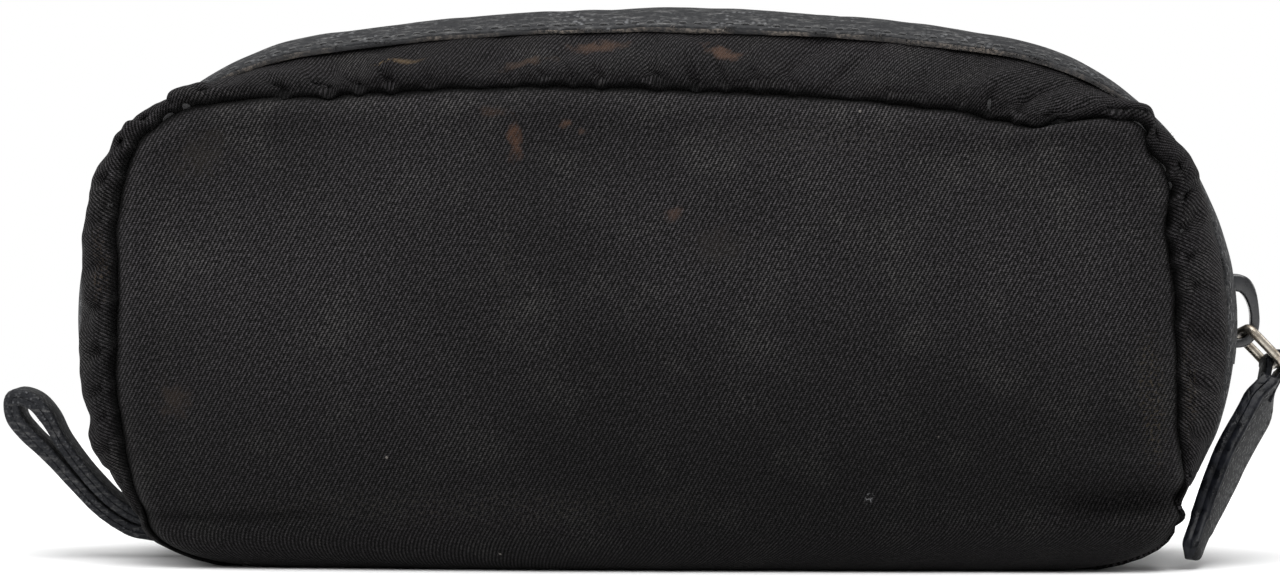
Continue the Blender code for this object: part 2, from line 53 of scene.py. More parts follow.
# The shell surface, as in the CAD model
END_RADIUS, END_HEIGHT, END_X = 53.4, 44.5, 54.6
HEIGHT = 102.5
ARC_RISE = HEIGHT - END_HEIGHT - END_RADIUS
TOP_RADIUS = END_RADIUS + (END_X**2 + ARC_RISE**2) / (2 * ARC_RISE)
JOIN_ANGLE = math.asin(END_X / (TOP_RADIUS - END_RADIUS))
FOOT = 8.3
FOOT_ANGLE = math.asin((END_HEIGHT - FOOT) / END_RADIUS)
END_LENGTH = END_RADIUS * (math.pi / 2 - JOIN_ANGLE + FOOT_ANGLE)
TOP_LENGTH = 2 * TOP_RADIUS * JOIN_ANGLE
ZIP_LENGTH = 2 * END_LENGTH + TOP_LENGTH
SEAM_DEPTH, CROWN = 24.0, 9.0
SEAM_HALF, SEAM_MID, SEAM_TOP, SEAM_POWER = 98.5, 42.0, 88.3, 5.8
SEAM_RISE = SEAM_TOP - SEAM_MID
DRAPE_POWER = 2.3
BASE_RIM, TURN_SHARE = 8.0, 0.235

FRONT, BACK = -1, 1
WORDS = {FRONT: "front", BACK: "back"}


# ---------------------------------------------------------------- small tools


def smooth(x):
    x = np.clip(x, 0.0, 1.0)
    return x * x * (3 - 2 * x)


def bump(x, centre, width):
    return np.exp(-(((x - centre) / width) ** 2))


def ripple(x, step, seed):
    """Smooth noise along a line, between -1 and 1, with one swing for each step."""
    rng = np.random.default_rng(seed)
    values = rng.uniform(-1, 1, RIPPLE_CELLS)
    at = np.asarray(x, float) / step + 1000
    cell = np.floor(at).astype(int)
    t = at - cell
    t = t * t * (3 - 2 * t)
    return values[cell % RIPPLE_CELLS] * (1 - t) + values[(cell + 1) % RIPPLE_CELLS] * t


def cloud(points, size, seed):
    """Smooth noise in space of two octaves, about -1 to 1, for an array of points."""
    flat = np.asarray(points, float).reshape(-1, 3) / size
    shift = Vector((seed * 7.3, seed * 3.1, -seed * 5.7))
    out = np.empty(len(flat))
    for i, p in enumerate(flat):
        at = Vector(p) + shift
        out[i] = noise.noise(at) + 0.5 * noise.noise(at * 2.03)
    return out.reshape(np.shape(points)[:-1])


def new_object(name, vertices, faces, finish, uvs=None, smooth_angle=None):
    """A mesh object from points in millimetres, with uvs per vertex in millimetres.

    A third column of uvs is kept as the attribute "seam": how much painted shade the cloth gets in its
    creases."""
    mesh = bpy.data.meshes.new(name)
    mesh.from_pydata((np.asarray(vertices, float) * MM).tolist(), [], [list(map(int, f)) for f in faces])
    if uvs is not None:
        if np.shape(uvs)[-1] == 3:
            attribute = mesh.attributes.new("seam", "FLOAT", "POINT")
            attribute.data.foreach_set("value", np.asarray(uvs, float)[:, 2])
        layer = mesh.uv_layers.new(name="UVMap")
        index = np.empty(len(mesh.loops), int)
        mesh.loops.foreach_get("vertex_index", index)
        layer.data.foreach_set("uv", (np.asarray(uvs, float)[index, :2] * MM).ravel())
    mesh.shade_smooth()
    if smooth_angle:
        mesh.set_sharp_from_angle(angle=math.radians(smooth_angle))
    obj = bpy.data.objects.new(name, mesh)
    bpy.context.scene.collection.objects.link(obj)
    for one in finish if isinstance(finish, (list, tuple)) else [finish]:
        mesh.materials.append(one)
    return obj


def grid_faces(columns, rows, flip):
    i, j = np.meshgrid(np.arange(columns - 1), np.arange(rows - 1), indexing="ij")
    a = (i * rows + j).ravel()
    quads = np.stack([a, a + rows, a + rows + 1, a + 1], axis=1)
    return quads[:, ::-1] if flip else quads


def add_grid(name, points, uvs, finish, flip, thickness, level=0):
    """An open sheet of cloth from a grid of points, given its thickness inwards."""
    faces = grid_faces(*points.shape[:2], flip)
    obj = new_object(name, points.reshape(-1, 3), faces, finish, uvs.reshape(-1, uvs.shape[-1]))
    if level:
        sub = obj.modifiers.new("Smooth", "SUBSURF")
        sub.levels = sub.render_levels = level
        sub.uv_smooth = "PRESERVE_BOUNDARIES"
    wall = obj.modifiers.new("Thickness", "SOLIDIFY")
    wall.thickness, wall.offset = thickness * MM, -1
    return obj


def unit(v):
    v = np.asarray(v, float)
    return v / np.linalg.norm(v, axis=-1, keepdims=True)


def grid_normals(points):
    """Unit normals of a grid of points, their sign as the two directions give it."""
    n = np.cross(np.gradient(points, axis=0), np.gradient(points, axis=1))
    return n / np.maximum(np.linalg.norm(n, axis=-1, keepdims=True), 1e-9)


def join(*parts):
    """Points from arrays of their coordinates."""
    return np.stack(parts, axis=-1)


def lattice(first, second):
    """Two arrays over a grid, each spaced as (start, end, count) says along its own side."""
    return np.meshgrid(np.linspace(*first), np.linspace(*second), indexing="ij")


def run_length(path):
    """The distance along a path at each of its points."""
    return np.concatenate([[0], np.cumsum(np.linalg.norm(np.diff(path, axis=0), axis=1))])


def spline(points, per_span):
    """A Catmull-Rom curve through points, with per_span steps in each span."""
    p = np.asarray(points, float)
    p = np.vstack([2 * p[0] - p[1], p, 2 * p[-1] - p[-2]])
    out = []
    for a, b, c, d in zip(p, p[1:], p[2:], p[3:]):
        square, cube = 2 * a - 5 * b + 4 * c - d, 3 * b - a - 3 * c + d
        for t in np.arange(per_span) / per_span:
            out.append(0.5 * (2 * b + (c - a) * t + square * t**2 + cube * t**3))
    return np.array([*out, p[-2]])


def on_side(points, side):
    """Points worked out for the front, or mirrored to the back."""
    out = np.array(points, float)
    if side == BACK:
        out[..., 1] *= -1
    return out


# ---------------------------------------------------------------- the shell surface


def zip_line(share):
    """(x, z) on the zip line, and the outward direction there, for shares of its length."""
    along = np.asarray(share, float) * ZIP_LENGTH
    left = math.pi + FOOT_ANGLE - along / END_RADIUS
    top = math.pi / 2 + JOIN_ANGLE - (along - END_LENGTH) / TOP_RADIUS
    right = math.pi / 2 - JOIN_ANGLE - (along - END_LENGTH - TOP_LENGTH) / END_RADIUS
    on_left, on_right = along < END_LENGTH, along >= END_LENGTH + TOP_LENGTH
    angle = np.where(on_left, left, np.where(on_right, right, top))
    radius = np.where(on_left | on_right, END_RADIUS, TOP_RADIUS)
    centre_x = np.where(on_left, -END_X, np.where(on_right, END_X, 0.0))
    centre_z = np.where(on_left | on_right, END_HEIGHT, HEIGHT - TOP_RADIUS)
    normal = join(np.cos(angle), np.sin(angle))
    return join(centre_x, centre_z) + radius[..., None] * normal, normal


def bearing(x, z):
    """The direction of a point from the panel's middle: 0 is straight down, and it grows leftwards."""
    return np.mod(np.arctan2(-x / SEAM_HALF, -(z - SEAM_MID) / SEAM_RISE), 2 * np.pi)


def seam_table():
    """The seam as new, a superellipse: shares of its length, x, z, bearings and the length."""
    foot = math.asin(((SEAM_MID - FOOT) / SEAM_RISE) ** (SEAM_POWER / 2))
    angle = np.linspace(math.pi + foot, -foot, 1441)
    c, s = np.cos(angle), np.sin(angle)
    x = np.sign(c) * np.abs(c) ** (2 / SEAM_POWER) * SEAM_HALF
    z = np.sign(s) * np.abs(s) ** (2 / SEAM_POWER) * SEAM_RISE + SEAM_MID
    length = run_length(join(x, z))
    return length / length[-1], x, z, bearing(x, z), length[-1]


SHARES, SEAM_XS, SEAM_ZS, BEARINGS, SEAM_LENGTH = seam_table()

# The seam of the worn bag, from its left foot over the top to its right foot: (x, z).
WORN_SEAM = (
    (-94.0, 8.3), (-96.1, 13.9), (-97.6, 20.2), (-98.7, 26.0), (-99.5, 33.0), (-99.7, 39.0), (-99.1, 51.4),
    (-99.4, 62.0), (-98.8, 68.0), (-97.7, 73.0), (-95.4, 78.2), (-90.4, 83.3), (-85.2, 85.9), (-76.0, 87.0),
    (-64.2, 87.6), (-58.8, 87.4), (-54.1, 88.4), (-37.0, 89.0), (-21.5, 89.5), (-2.0, 89.1), (21.4, 88.4),
    (33.1, 87.3), (44.8, 86.2), (56.5, 84.8), (65.8, 82.9), (70.5, 82.0), (75.9, 82.9), (82.9, 83.5),
    (88.4, 83.3), (90.9, 81.5), (91.9, 77.2), (94.6, 74.2), (95.8, 69.2), (95.0, 63.8), (95.7, 57.6),
    (96.6, 51.4), (96.3, 46.2), (97.0, 38.0), (97.2, 28.2), (97.9, 20.0), (98.5, 15.8), (97.2, 12.2),
    (97.9, 9.8), (96.3, 8.3),
)


def slump_table():
    """How far the worn seam lies from the new one, in x and z, for each of SHARES."""
    x, z = spline(WORN_SEAM, 12).T
    at = bearing(x, z)
    order = np.argsort(at)
    worn_x, worn_z = (np.interp(BEARINGS, at[order], v[order]) for v in (x, z))
    return join(worn_x - SEAM_XS, worn_z - SEAM_ZS)


SLUMPS = slump_table()
WAVE_HEIGHT, WAVE_STEP = 0.28, 6.0


def slump(share):
    """How far the worn seam has moved, in x and z, with its small waves."""
    share = np.asarray(share, float)
    along = share * SEAM_LENGTH
    ease = smooth(np.minimum(share, 1 - share) * 12)
    moved = [
        np.interp(share, SHARES, SLUMPS[:, k]) + WAVE_HEIGHT * ripple(along, WAVE_STEP, seed) * ease
        for k, seed in ((0, 6), (1, 5))
    ]
    return join(*moved)


def new_seam(share):
    share = np.asarray(share, float)
    return join(np.interp(share, SHARES, SEAM_XS), np.interp(share, SHARES, SEAM_ZS))


def worn_seam(share):
    return new_seam(share) + slump(share)


def beside(share, step):
    """A share a step before, and one a step after, kept on the bag."""
    return np.clip(share - step, 0, 1), np.clip(share + step, 0, 1)


def seam_outward(share):
    low, high = beside(share, 0.004)
    d = unit(new_seam(high) - new_seam(low))
    return join(-d[..., 1], d[..., 0])


def shell(share, depth, height=0.0):
    """Points over the shell surface: a share along it, a depth from the mid-plane and a height."""
    share, depth = np.broadcast_arrays(np.asarray(share, float), np.asarray(depth, float))

    def surface(s, d):
        top, _ = zip_line(s)
        fall = (np.maximum(d, 0) / SEAM_DEPTH) ** DRAPE_POWER
        xz = top + (new_seam(s) - top) * fall[..., None]
        return join(xz[..., 0], -d, xz[..., 1])

    low, high = beside(share, 0.002)
    along = surface(high, depth) - surface(low, depth)
    across = surface(share, depth + 0.1) - surface(share, np.maximum(depth - 0.1, 0))
    normal = unit(np.cross(along, across))
    _, outward = zip_line(share)
    sign = np.sign(normal[..., 0] * outward[..., 0] + normal[..., 2] * outward[..., 1])
    return surface(share, depth) + normal * (sign * height)[..., None]


def tray(at, angle):
    """Carries a point of the base's rim under the bag: 90 degrees is the rim, 0 the flat underside."""
    scale = 1 - TURN_SHARE * (1 - np.sin(angle))
    return np.array(at, float) * (scale, scale, 1 - np.cos(angle))


# ---------------------------------------------------------------- materials


class Nodes:
    """A short way to wire a material: each call adds a node and returns its output."""

    def __init__(self, name):
        self.material = bpy.data.materials.new(name)
        self.material.use_nodes = True
        self.tree = self.material.node_tree
        self.shader = self.tree.nodes["Principled BSDF"]

    def put(self, socket, value):
        if isinstance(value, bpy.types.NodeSocket):
            self.tree.links.new(value, socket)
        else:
            socket.default_value = value

    def add(self, kind, inputs=(), output=0, **settings):
        node = self.tree.nodes.new(kind)
        for key, value in settings.items():
            setattr(node, key, value)
        for key, value in dict(inputs).items():
            self.put(node.inputs[key], value)
        return node.outputs[output]

    def math(self, operation, a, b=0.0):
        return self.add("ShaderNodeMath", {0: a, 1: b}, operation=operation)

    def product(self, a, b):
        return self.math("MULTIPLY", a, b)

    def noise(self, vector, scale, detail=2.0, roughness=0.5):
        inputs = {"Vector": vector, "Scale": scale, "Detail": detail, "Roughness": roughness}
        return self.add("ShaderNodeTexNoise", inputs)

    def ramp(self, value, low, high, start=0.0, end=1.0):
        """value, carried from low..high to start..end and held at both ends, with a smooth step."""
        inputs = {"Value": value, "From Min": low, "From Max": high, "To Min": start, "To Max": end}
        return self.add("ShaderNodeMapRange", inputs, interpolation_type="SMOOTHSTEP")

    def mix(self, factor, a, b, blend="MIX"):
        node = self.tree.nodes.new("ShaderNodeMix")
        node.data_type = "RGBA"
        node.blend_type = blend
        self.put(node.inputs[0], factor)
        self.put(node.inputs[6], a if isinstance(a, bpy.types.NodeSocket) else (*a, 1.0))
        self.put(node.inputs[7], b if isinstance(b, bpy.types.NodeSocket) else (*b, 1.0))
        return node.outputs[2]

    def add_up(self, a, b, gain):
        """a + b * gain"""
        return self.add("ShaderNodeMath", {0: b, 1: gain, 2: a}, operation="MULTIPLY_ADD")

    def wave(self, phase):
        """A sine wave between 0 and 1."""
        return self.add_up(0.5, self.math("SINE", phase), 0.5)

    def split(self, vector):
        parts = self.add("ShaderNodeSeparateXYZ", {0: vector}).node.outputs
        return parts[0], parts[1]

    def uv(self):
        return self.add("ShaderNodeUVMap")

    def place(self):
        return self.add("ShaderNodeTexCoord", output=3)

    def mapped(self, vector, scale=(1, 1, 1), turn=0.0, shift=(0, 0, 0)):
        inputs = {"Vector": vector, "Scale": scale, "Rotation": (0, 0, turn), "Location": shift}
        return self.add("ShaderNodeMapping", inputs)

    def fine_noise(self, vector, scale, detail=2.0, roughness=0.5, shift=(0, 0, 0)):
        """Noise scaled by a mapping, because the noise node's own scale stops at 1000."""
        scales = scale if isinstance(scale, tuple) else (scale, scale, scale)
        return self.noise(self.mapped(vector, scales, shift=shift), 1.0, detail, roughness)

    def times(self, colour, gain):
        return self.mix(1.0, colour, grey(gain), "MULTIPLY")

    def shade(self, factor, colour, low, high):
        """colour, times low where factor is 0 and times high where it is 1."""
        return self.mix(factor, self.times(colour, low), self.times(colour, high))

    def bump(self, height, distance, strength=1.0, normal=None):
        inputs = {"Height": height, "Distance": distance, "Strength": strength}
        if normal is not None:
            inputs["Normal"] = normal
        return self.add("ShaderNodeBump", inputs)

    def finish(self, **inputs):
        for key, value in inputs.items():
            self.put(self.shader.inputs[key.replace("_", " ")], value)
        return self.material


def grey(value, warmth=0.0):
    return (value * (1 + warmth), value, value * (1 - warmth))


def dimmed(colour, gain):
    return tuple(c * gain for c in colour)


def black_dye(value):
    """The faintly violet grey of black dye."""
    return (value * 1.05, value * 0.97, value * 1.04)


TWILL_PITCH, YARN_PITCH = 0.00064, 0.00047


def twill(name, angle, stains=(), seed=0.0, tone=1.0, painted_shade_low=None):
    """Black nylon twill with its diagonal lines at an angle to the cloth's U direction.

    A stain is (centre, half size, turn in degrees, tint, strength, whether it is dust), its centre
    in the cloth's own U and V, in millimetres. The last argument paints shade that darkens the cloth
    towards its foot: (V where the cloth is darkest, V where the painted shade ends, how much of its colour
    is left)."""
    n = Nodes(name)
    uv = n.uv()
    wobble = n.fine_noise(uv, 260)
    # Diagonal ridges, broken into floats by the yarns that cross them.
    along, across = n.split(n.mapped(uv, turn=-angle))
    ridge_at = n.add_up(n.product(across, 2 * math.pi / TWILL_PITCH), wobble, 2.6)
    ridge = n.wave(ridge_at)
    yarn = n.wave(n.add_up(ridge_at, along, 2 * math.pi / YARN_PITCH))
    weave = n.ramp(n.add_up(n.product(ridge, 0.62), yarn, 0.38), 0.22, 0.78)
    salt = n.ramp(n.fine_noise(uv, 1600, 3.0, 0.75), 0.34, 0.68)
    # Slow changes of colour: fading, rubbed places and grime, and painted shade towards the cloth's foot.
    broad = n.fine_noise(uv, 14, 3.0, shift=(seed, 0, 0))
    patchy = n.fine_noise(uv, 75, 4.0, 0.6, (0, seed, 0))
    grain = n.fine_noise(uv, 2600, 1.0)
    colour = n.mix(n.ramp(broad, 0.35, 0.65), black_dye(0.0060 * tone), black_dye(0.0105 * tone))
    colour = n.mix(n.ramp(patchy, 0.48, 0.72, 0.0, 0.45), colour, grey(0.018 * tone, 0.04))
    # Painted shade: the cloth darkened towards its foot, where less light falls.
    if painted_shade_low:
        start, end, gain = painted_shade_low
        shade_low_mask = n.ramp(n.split(uv)[1], start * MM, end * MM)
        colour = n.mix(shade_low_mask, n.times(colour, gain), colour)
    colour = n.shade(weave, colour, 0.04, 2.6)
    colour = n.shade(salt, colour, 0.20, 2.3)
    colour = n.mix(n.ramp(grain, 0.58, 0.8, 0.0, 0.35), colour, grey(0.030, 0.04))
    ragged = n.fine_noise(uv, 420, 3.0, 0.65)
    fine = n.fine_noise(uv, 1500, 2.0, 0.7)
    for centre, size, turn, tint, strength, dusty in stains:
        moved = n.mapped(uv, shift=(-centre[0] * MM, -centre[1] * MM, 0))
        spun = n.mapped(moved, turn=-math.radians(turn))
        shape = n.mapped(spun, (1 / (size[0] * MM), 1 / (size[1] * MM), 1))
        reach = n.add("ShaderNodeVectorMath", {0: shape}, 1, operation="LENGTH")
        if dusty:
            inside = n.ramp(reach, 0.2, 1.0, 1.0, 0.0)
            mask = n.product(inside, n.ramp(fine, 0.5, 0.66, 0.0, strength))
        else:
            mask = n.ramp(n.add_up(reach, n.math("SUBTRACT", ragged, 0.5), 2.2), 0.05, 1.0, strength, 0.0)
        colour = n.mix(mask, colour, tint)
    # Specks of lint.
    cells = n.add("ShaderNodeTexVoronoi", {"Vector": uv, "Scale": 210}).node
    picked = n.add("ShaderNodeSeparateColor", {0: cells.outputs["Color"]})
    near = n.ramp(cells.outputs["Distance"], 0.03, 0.075, 0.75, 0.0)
    speck = n.product(n.math("GREATER_THAN", picked, 0.965), near)
    colour = n.mix(speck, colour, grey(0.16, 0.08))
    # Painted shade in the creases, from the "seam" attribute: along the seam between panel and gusset, and
    # under the left foot's fold.
    seam = n.add("ShaderNodeAttribute", output=2, attribute_name="seam")
    colour = n.mix(n.ramp(seam, 0.15, 0.9, 0.0, 0.85), colour, grey(0.0012))
    surface = n.bump(weave, 0.00020, 0.9)
    surface = n.bump(salt, 0.00012, 0.7, surface)
    surface = n.bump(n.fine_noise(uv, 900, 3.0, 0.6), 0.00012, 0.5, surface)
    surface = n.bump(n.fine_noise(uv, 160, 3.0, 0.55), 0.0007, 0.35, surface)
    return n.finish(
        Base_Color=colour, Roughness=n.ramp(weave, 0.0, 1.0, 0.82, 0.62), Normal=surface,
        Specular_IOR_Level=0.08, Sheen_Weight=0.014, Sheen_Roughness=0.4,
        Sheen_Tint=(0.75, 0.72, 0.70, 1.0),
    )


def leather(name, pebble=0.0013, worn=0.6, relief=0.00022, tone=1.0, shine=0.35):
    """Black embossed leather: pebbled grain, its high points rubbed grey."""
    n = Nodes(name)
    place = n.place()
    bend_by = n.mapped(n.add("ShaderNodeTexNoise", {"Vector": place, "Scale": 500.0}, 1), (0.0006,) * 3)
    warped = n.add("ShaderNodeVectorMath", {0: place, 1: bend_by}, operation="ADD")
    inputs = {"Vector": warped, "Scale": 1 / pebble, "Smoothness": 0.35}
    cells = n.add("ShaderNodeTexVoronoi", inputs, feature="SMOOTH_F1").node
    hill = n.ramp(cells.outputs["Distance"], 0.05, 0.65, 1.0, 0.0)
    fine = n.noise(place, 3800.0, 3.0, 0.6)
    broad = n.noise(place, 95.0, 4.0, 0.6)
    rub = n.product(n.ramp(hill, 0.45, 0.95), n.ramp(broad, 0.42, 0.70, 0.0, worn))
    dark, light = dimmed((0.0045, 0.0048, 0.0056), tone), dimmed((0.012, 0.0125, 0.0145), tone)
    colour = n.mix(n.ramp(fine, 0.3, 0.7), dark, light)
    colour = n.mix(rub, colour, (0.12, 0.122, 0.128))
    scuffs = n.fine_noise(place, (300, 1300, 1300), 4.0, 0.75)
    colour = n.mix(n.ramp(scuffs, 0.50, 0.72, 0.0, 0.8 * worn), colour, (0.16, 0.158, 0.155))
    surface = n.bump(hill, relief, 0.9)
    surface = n.bump(fine, 0.00003, 0.5, surface)
    surface = n.bump(broad, 0.0007, 0.3, surface)
    rough = n.ramp(hill, 0.0, 1.0, 0.60, 0.42)
    return n.finish(Base_Color=colour, Roughness=rough, Normal=surface, Specular_IOR_Level=shine)


def painted_edge():
    """Thick glossy edge paint, wavy where it was brushed on."""
    n = Nodes("edge_paint")
    place = n.place()
    wave = n.fine_noise(place, (420, 420, 330), 3.0, 0.6)
    fine = n.noise(place, 2200.0, 3.0, 0.65)
    colour = n.mix(n.ramp(wave, 0.35, 0.7), (0.003, 0.0034, 0.0045), (0.010, 0.011, 0.015))
    surface = n.bump(wave, 0.0007, 0.5)
    surface = n.bump(fine, 0.00001, 0.4, surface)
    return n.finish(
        Base_Color=colour, Roughness=n.ramp(wave, 0.3, 0.7, 0.22, 0.42), Normal=surface,
        Specular_IOR_Level=0.15, Coat_Weight=0.05, Coat_Roughness=0.12,
    )


def raw_edge():
    """The pale cut fibres along the trim's lower edge, with lint caught in them."""
    n = Nodes("raw_leather_edge")
    place = n.place()
    lint = n.noise(place, 1400.0, 4.0, 0.7)
    broad = n.noise(place, 90.0, 3.0)
    colour = n.mix(n.ramp(lint, 0.38, 0.66), (0.030, 0.029, 0.029), (0.21, 0.18, 0.155))
    colour = n.mix(n.ramp(broad, 0.40, 0.62), (0.030, 0.030, 0.032), colour)
    return n.finish(Base_Color=colour, Roughness=0.85, Normal=n.bump(lint, 0.0003, 0.8))


def thread(name, colour):
    n = Nodes(name)
    place = n.place()
    twist = n.fine_noise(place, 2500)
    tint = n.mix(n.ramp(twist, 0.3, 0.7), dimmed(colour, 0.55), colour)
    return n.finish(Base_Color=tint, Roughness=0.6, Normal=n.bump(twist, 0.0001, 0.6), Sheen_Weight=0.2)


def enamel():
    """Black stoved enamel on the slider, rubbed thin at its corners."""
    n = Nodes("black_enamel")
    place = n.place()
    spots = n.noise(place, 700.0, 4.0, 0.7)
    geometry = n.tree.nodes.new("ShaderNodeNewGeometry")
    corner = n.ramp(geometry.outputs["Pointiness"], 0.52, 0.60)
    rubbed = n.product(corner, n.ramp(spots, 0.42, 0.62))
    colour = n.mix(n.ramp(spots, 0.35, 0.65), (0.007, 0.0075, 0.009), (0.014, 0.015, 0.018))
    colour = n.mix(n.product(rubbed, 0.6), colour, (0.22, 0.21, 0.20))
    return n.finish(
        Base_Color=colour, Metallic=n.product(rubbed, 0.8), Roughness=n.ramp(spots, 0.3, 0.7, 0.24, 0.42),
        Normal=n.bump(spots, 0.00008, 0.4), Coat_Weight=0.35, Coat_Roughness=0.2,
    )


def nickel():
    """Dull, slightly tarnished nickel wire."""
    n = Nodes("dull_nickel")
    place = n.place()
    tarnish = n.noise(place, 420.0, 4.0, 0.65)
    fine = n.noise(place, 3000.0, 3.0, 0.6)
    colour = n.mix(n.ramp(tarnish, 0.40, 0.68), (0.46, 0.42, 0.36), (0.17, 0.135, 0.10))
    return n.finish(
        Base_Color=colour, Metallic=1.0, Roughness=n.ramp(tarnish, 0.3, 0.7, 0.26, 0.48),
        Normal=n.bump(fine, 0.00004, 0.5),
    )


def plain_weave(name, dark, light, pitch, herringbone=False):
    """Fine cloth of two crossing yarns, or tape woven in a herringbone."""
    n = Nodes(name)
    uv = n.uv()
    u, v = n.split(uv)
    if herringbone:
        zigzag = n.math("PINGPONG", v, 0.0016)
        weave = n.wave(n.product(n.math("ADD", u, zigzag), 2 * math.pi / pitch))
    else:
        one = n.math("SINE", n.product(u, 2 * math.pi / pitch))
        two = n.math("SINE", n.product(v, 2 * math.pi / pitch))
        weave = n.add_up(0.5, n.product(one, two), 0.5)
    broad = n.fine_noise(uv, 60, 3.0)
    colour = n.mix(weave, dark, light)
    colour = n.mix(n.ramp(broad, 0.35, 0.7, 0.0, 0.5), colour, n.times(colour, 0.55))
    return n.finish(Base_Color=colour, Roughness=0.7, Normal=n.bump(weave, 0.00010, 0.6), Sheen_Weight=0.08)


# ---------------------------------------------------------------- cloth of the shells

EDGE_IN, CREASE_IN = 1.1, 2.7  # how far the seam is drawn in, along the panel and into the bag
TRAY_ANGLES = np.radians([12, 24, 36, 48, 60, 70, 80])
TURN_LENGTH = 11.0  # cloth taken up by each radian that turns under the base
GUSSET_WIDTH, BINDING_WIDTH, SEAM_ALLOWANCE = 17.0, 5.0, 2.4
PANEL_THICK, GUSSET_THICK, LINING_THICK, TAPE_THICK, BINDING_THICK = 0.8, 0.7, 0.4, 0.5, 0.8
LINING_GAP = 1.9


def pucker(share, reach, seed):
    """How far the cloth beside the seam stands out, from the gathers in it, at a distance from it."""
    along = np.asarray(share, float) * SEAM_LENGTH
    strength = 0.6 + 0.4 * ripple(along, 40, seed + 2)
    broad = ripple(along + 0.3 * reach, 9.0, seed) * np.exp(-reach / 10.0)
    fine = ripple(along, 3.6, seed + 1) * np.exp(-reach / 3.6)
    return strength * (1.1 * broad + 0.75 * fine)


def sharp_folds(along, step, seed):
    """Narrow creases between broad puffs, about a step apart."""
    wave = 0.5 + 0.5 * np.sin(2 * np.pi * along / step + 3.6 * ripple(along, step * 1.7, seed))
    return wave**4 * (0.55 + 0.45 * ripple(along, step * 2.3, seed + 1))


def seam_edge_depth(share, seed):
    return SEAM_DEPTH - CREASE_IN + pucker(share, 0.0, seed)


def crease(share, seed):
    """The seam itself, where panel and gusset meet."""
    xz = worn_seam(share) - seam_outward(share) * EDGE_IN
    return join(xz[..., 0], -seam_edge_depth(share, seed), xz[..., 1])


def panel_square(columns, rows_up, rows_down):
    """(u, v) over the panel, closer together towards its seam."""
    a, b = np.linspace(-1, 1, columns), np.linspace(0, 1, rows_up)
    u, up = (0.55 * k + 0.45 * np.sin(np.pi / 2 * k) for k in (a, b))
    down = -np.linspace(0, 1, rows_down)[:0:-1]
    return np.meshgrid(u, np.concatenate([down, up]), indexing="ij")


def panel_surface(u, v, seed, worn=1.0):
    """Points of the panel: v runs from the foot (-1) to the top seam (1)."""
    n = SEAM_POWER
    low = v < 0
    reach = np.maximum(np.abs(u), np.abs(v))
    shrink = reach / np.maximum((np.abs(u) ** n + np.abs(v) ** n) ** (1 / n), 1e-9)
    z = np.where(low, SEAM_MID + v * (SEAM_MID - FOOT), SEAM_MID + SEAM_RISE * v * shrink)
    level = np.abs(z - SEAM_MID) / SEAM_RISE
    half = SEAM_HALF * np.maximum(1 - level**n, 1e-9) ** (1 / n)
    x = np.where(low, u * half, SEAM_HALF * u * shrink)
    xn, zn = np.abs(x) / SEAM_HALF, level
    fullness = np.maximum((xn**n + zn**n) ** (1 / n), 1e-6)
    slope = fullness ** (1 - n) * np.hypot(xn ** (n - 1) / SEAM_HALF, zn ** (n - 1) / SEAM_RISE)
    inside = np.maximum(1 - fullness, 0) / np.maximum(slope, 1e-9)
    inside = np.where(low, np.minimum(inside, half - np.abs(x)), inside)
    share = np.interp(bearing(x, z), BEARINGS, SHARES)
    pull = np.where(low, (np.abs(x) / half) ** 3, fullness**3)
    drawn_in = EDGE_IN * np.exp(-inside / 2.0)
    moved = slump(share) * pull[..., None] - seam_outward(share) * drawn_in[..., None]
    across = 1 - np.minimum(np.abs(x) / half, 1) ** 4
    down = np.clip((SEAM_TOP - z) / (SEAM_TOP - BASE_RIM), 0, 1)
    depth = SEAM_DEPTH + CROWN * across * np.sin(0.8 * np.pi * down)
    depth = depth - CREASE_IN * np.exp(-((inside / 1.7) ** 1.5))
    depth = depth + 0.7 * worn * bump(inside, 4.6, 3.4) * (inside > 0)
    depth = depth + pucker(share, inside, seed) * np.where(low, smooth((half - np.abs(x)) / 1 + 1), 1)
    points = join(x + moved[..., 0], -depth, z + moved[..., 1])
    wander = cloud(points * (1, 0, 1.6), 46.0, seed) * 1.2
    wander += cloud(points * (1, 0, 0.8), 15.0, seed + 9) * 0.28
    points[..., 1] += wander * smooth(inside / 14) * worn
    # The left foot turns under along a crease, and the right foot is crumpled.
    under = bump(z, 9.4 + 1.5 * smooth((x + 80) / 30), 1.3) * smooth((-48 - x) / 22)
    crumpled = 2.5 * bump(z, 19.5, 3.5) - 2.8 * bump(z, 13.2 + 0.05 * (x - 80), 2.4)
    crumpled = crumpled + 1.2 * bump(z, 8.6, 2.4)
    points[..., 1] += worn * (1.3 * under - crumpled * smooth((x - 64) / 20))
    # How much painted shade each point gets: in the seam's crease, and below the crease where the left foot
    # turns under.
    dark = bump(inside, 0, 1.5) + 0.55 * worn * under
    return points, join(points[..., 0], points[..., 2], dark)


def with_tray(points, uvs, both_ends, row_axis):
    """Adds the part that turns under the base, before the first row or at both ends."""
    step = TURN_LENGTH * np.eye(3)[row_axis]
    parts, uv_parts = [points], [uvs]
    for row, way in ((0, -1), (-1, 1))[: 1 + both_ends]:
        foot, foot_uv = np.take(points, row, axis=row_axis), np.take(uvs, row, axis=row_axis)
        angles = TRAY_ANGLES[::-way]
        at = len(parts) if way > 0 else 0
        parts.insert(at, np.stack([tray(foot, a) for a in angles], axis=row_axis))
        turned_uvs = [foot_uv + way * (math.pi / 2 - a) * step for a in angles]
        uv_parts.insert(at, np.stack(turned_uvs, axis=row_axis))
    return np.concatenate(parts, axis=row_axis), np.concatenate(uv_parts, axis=row_axis)


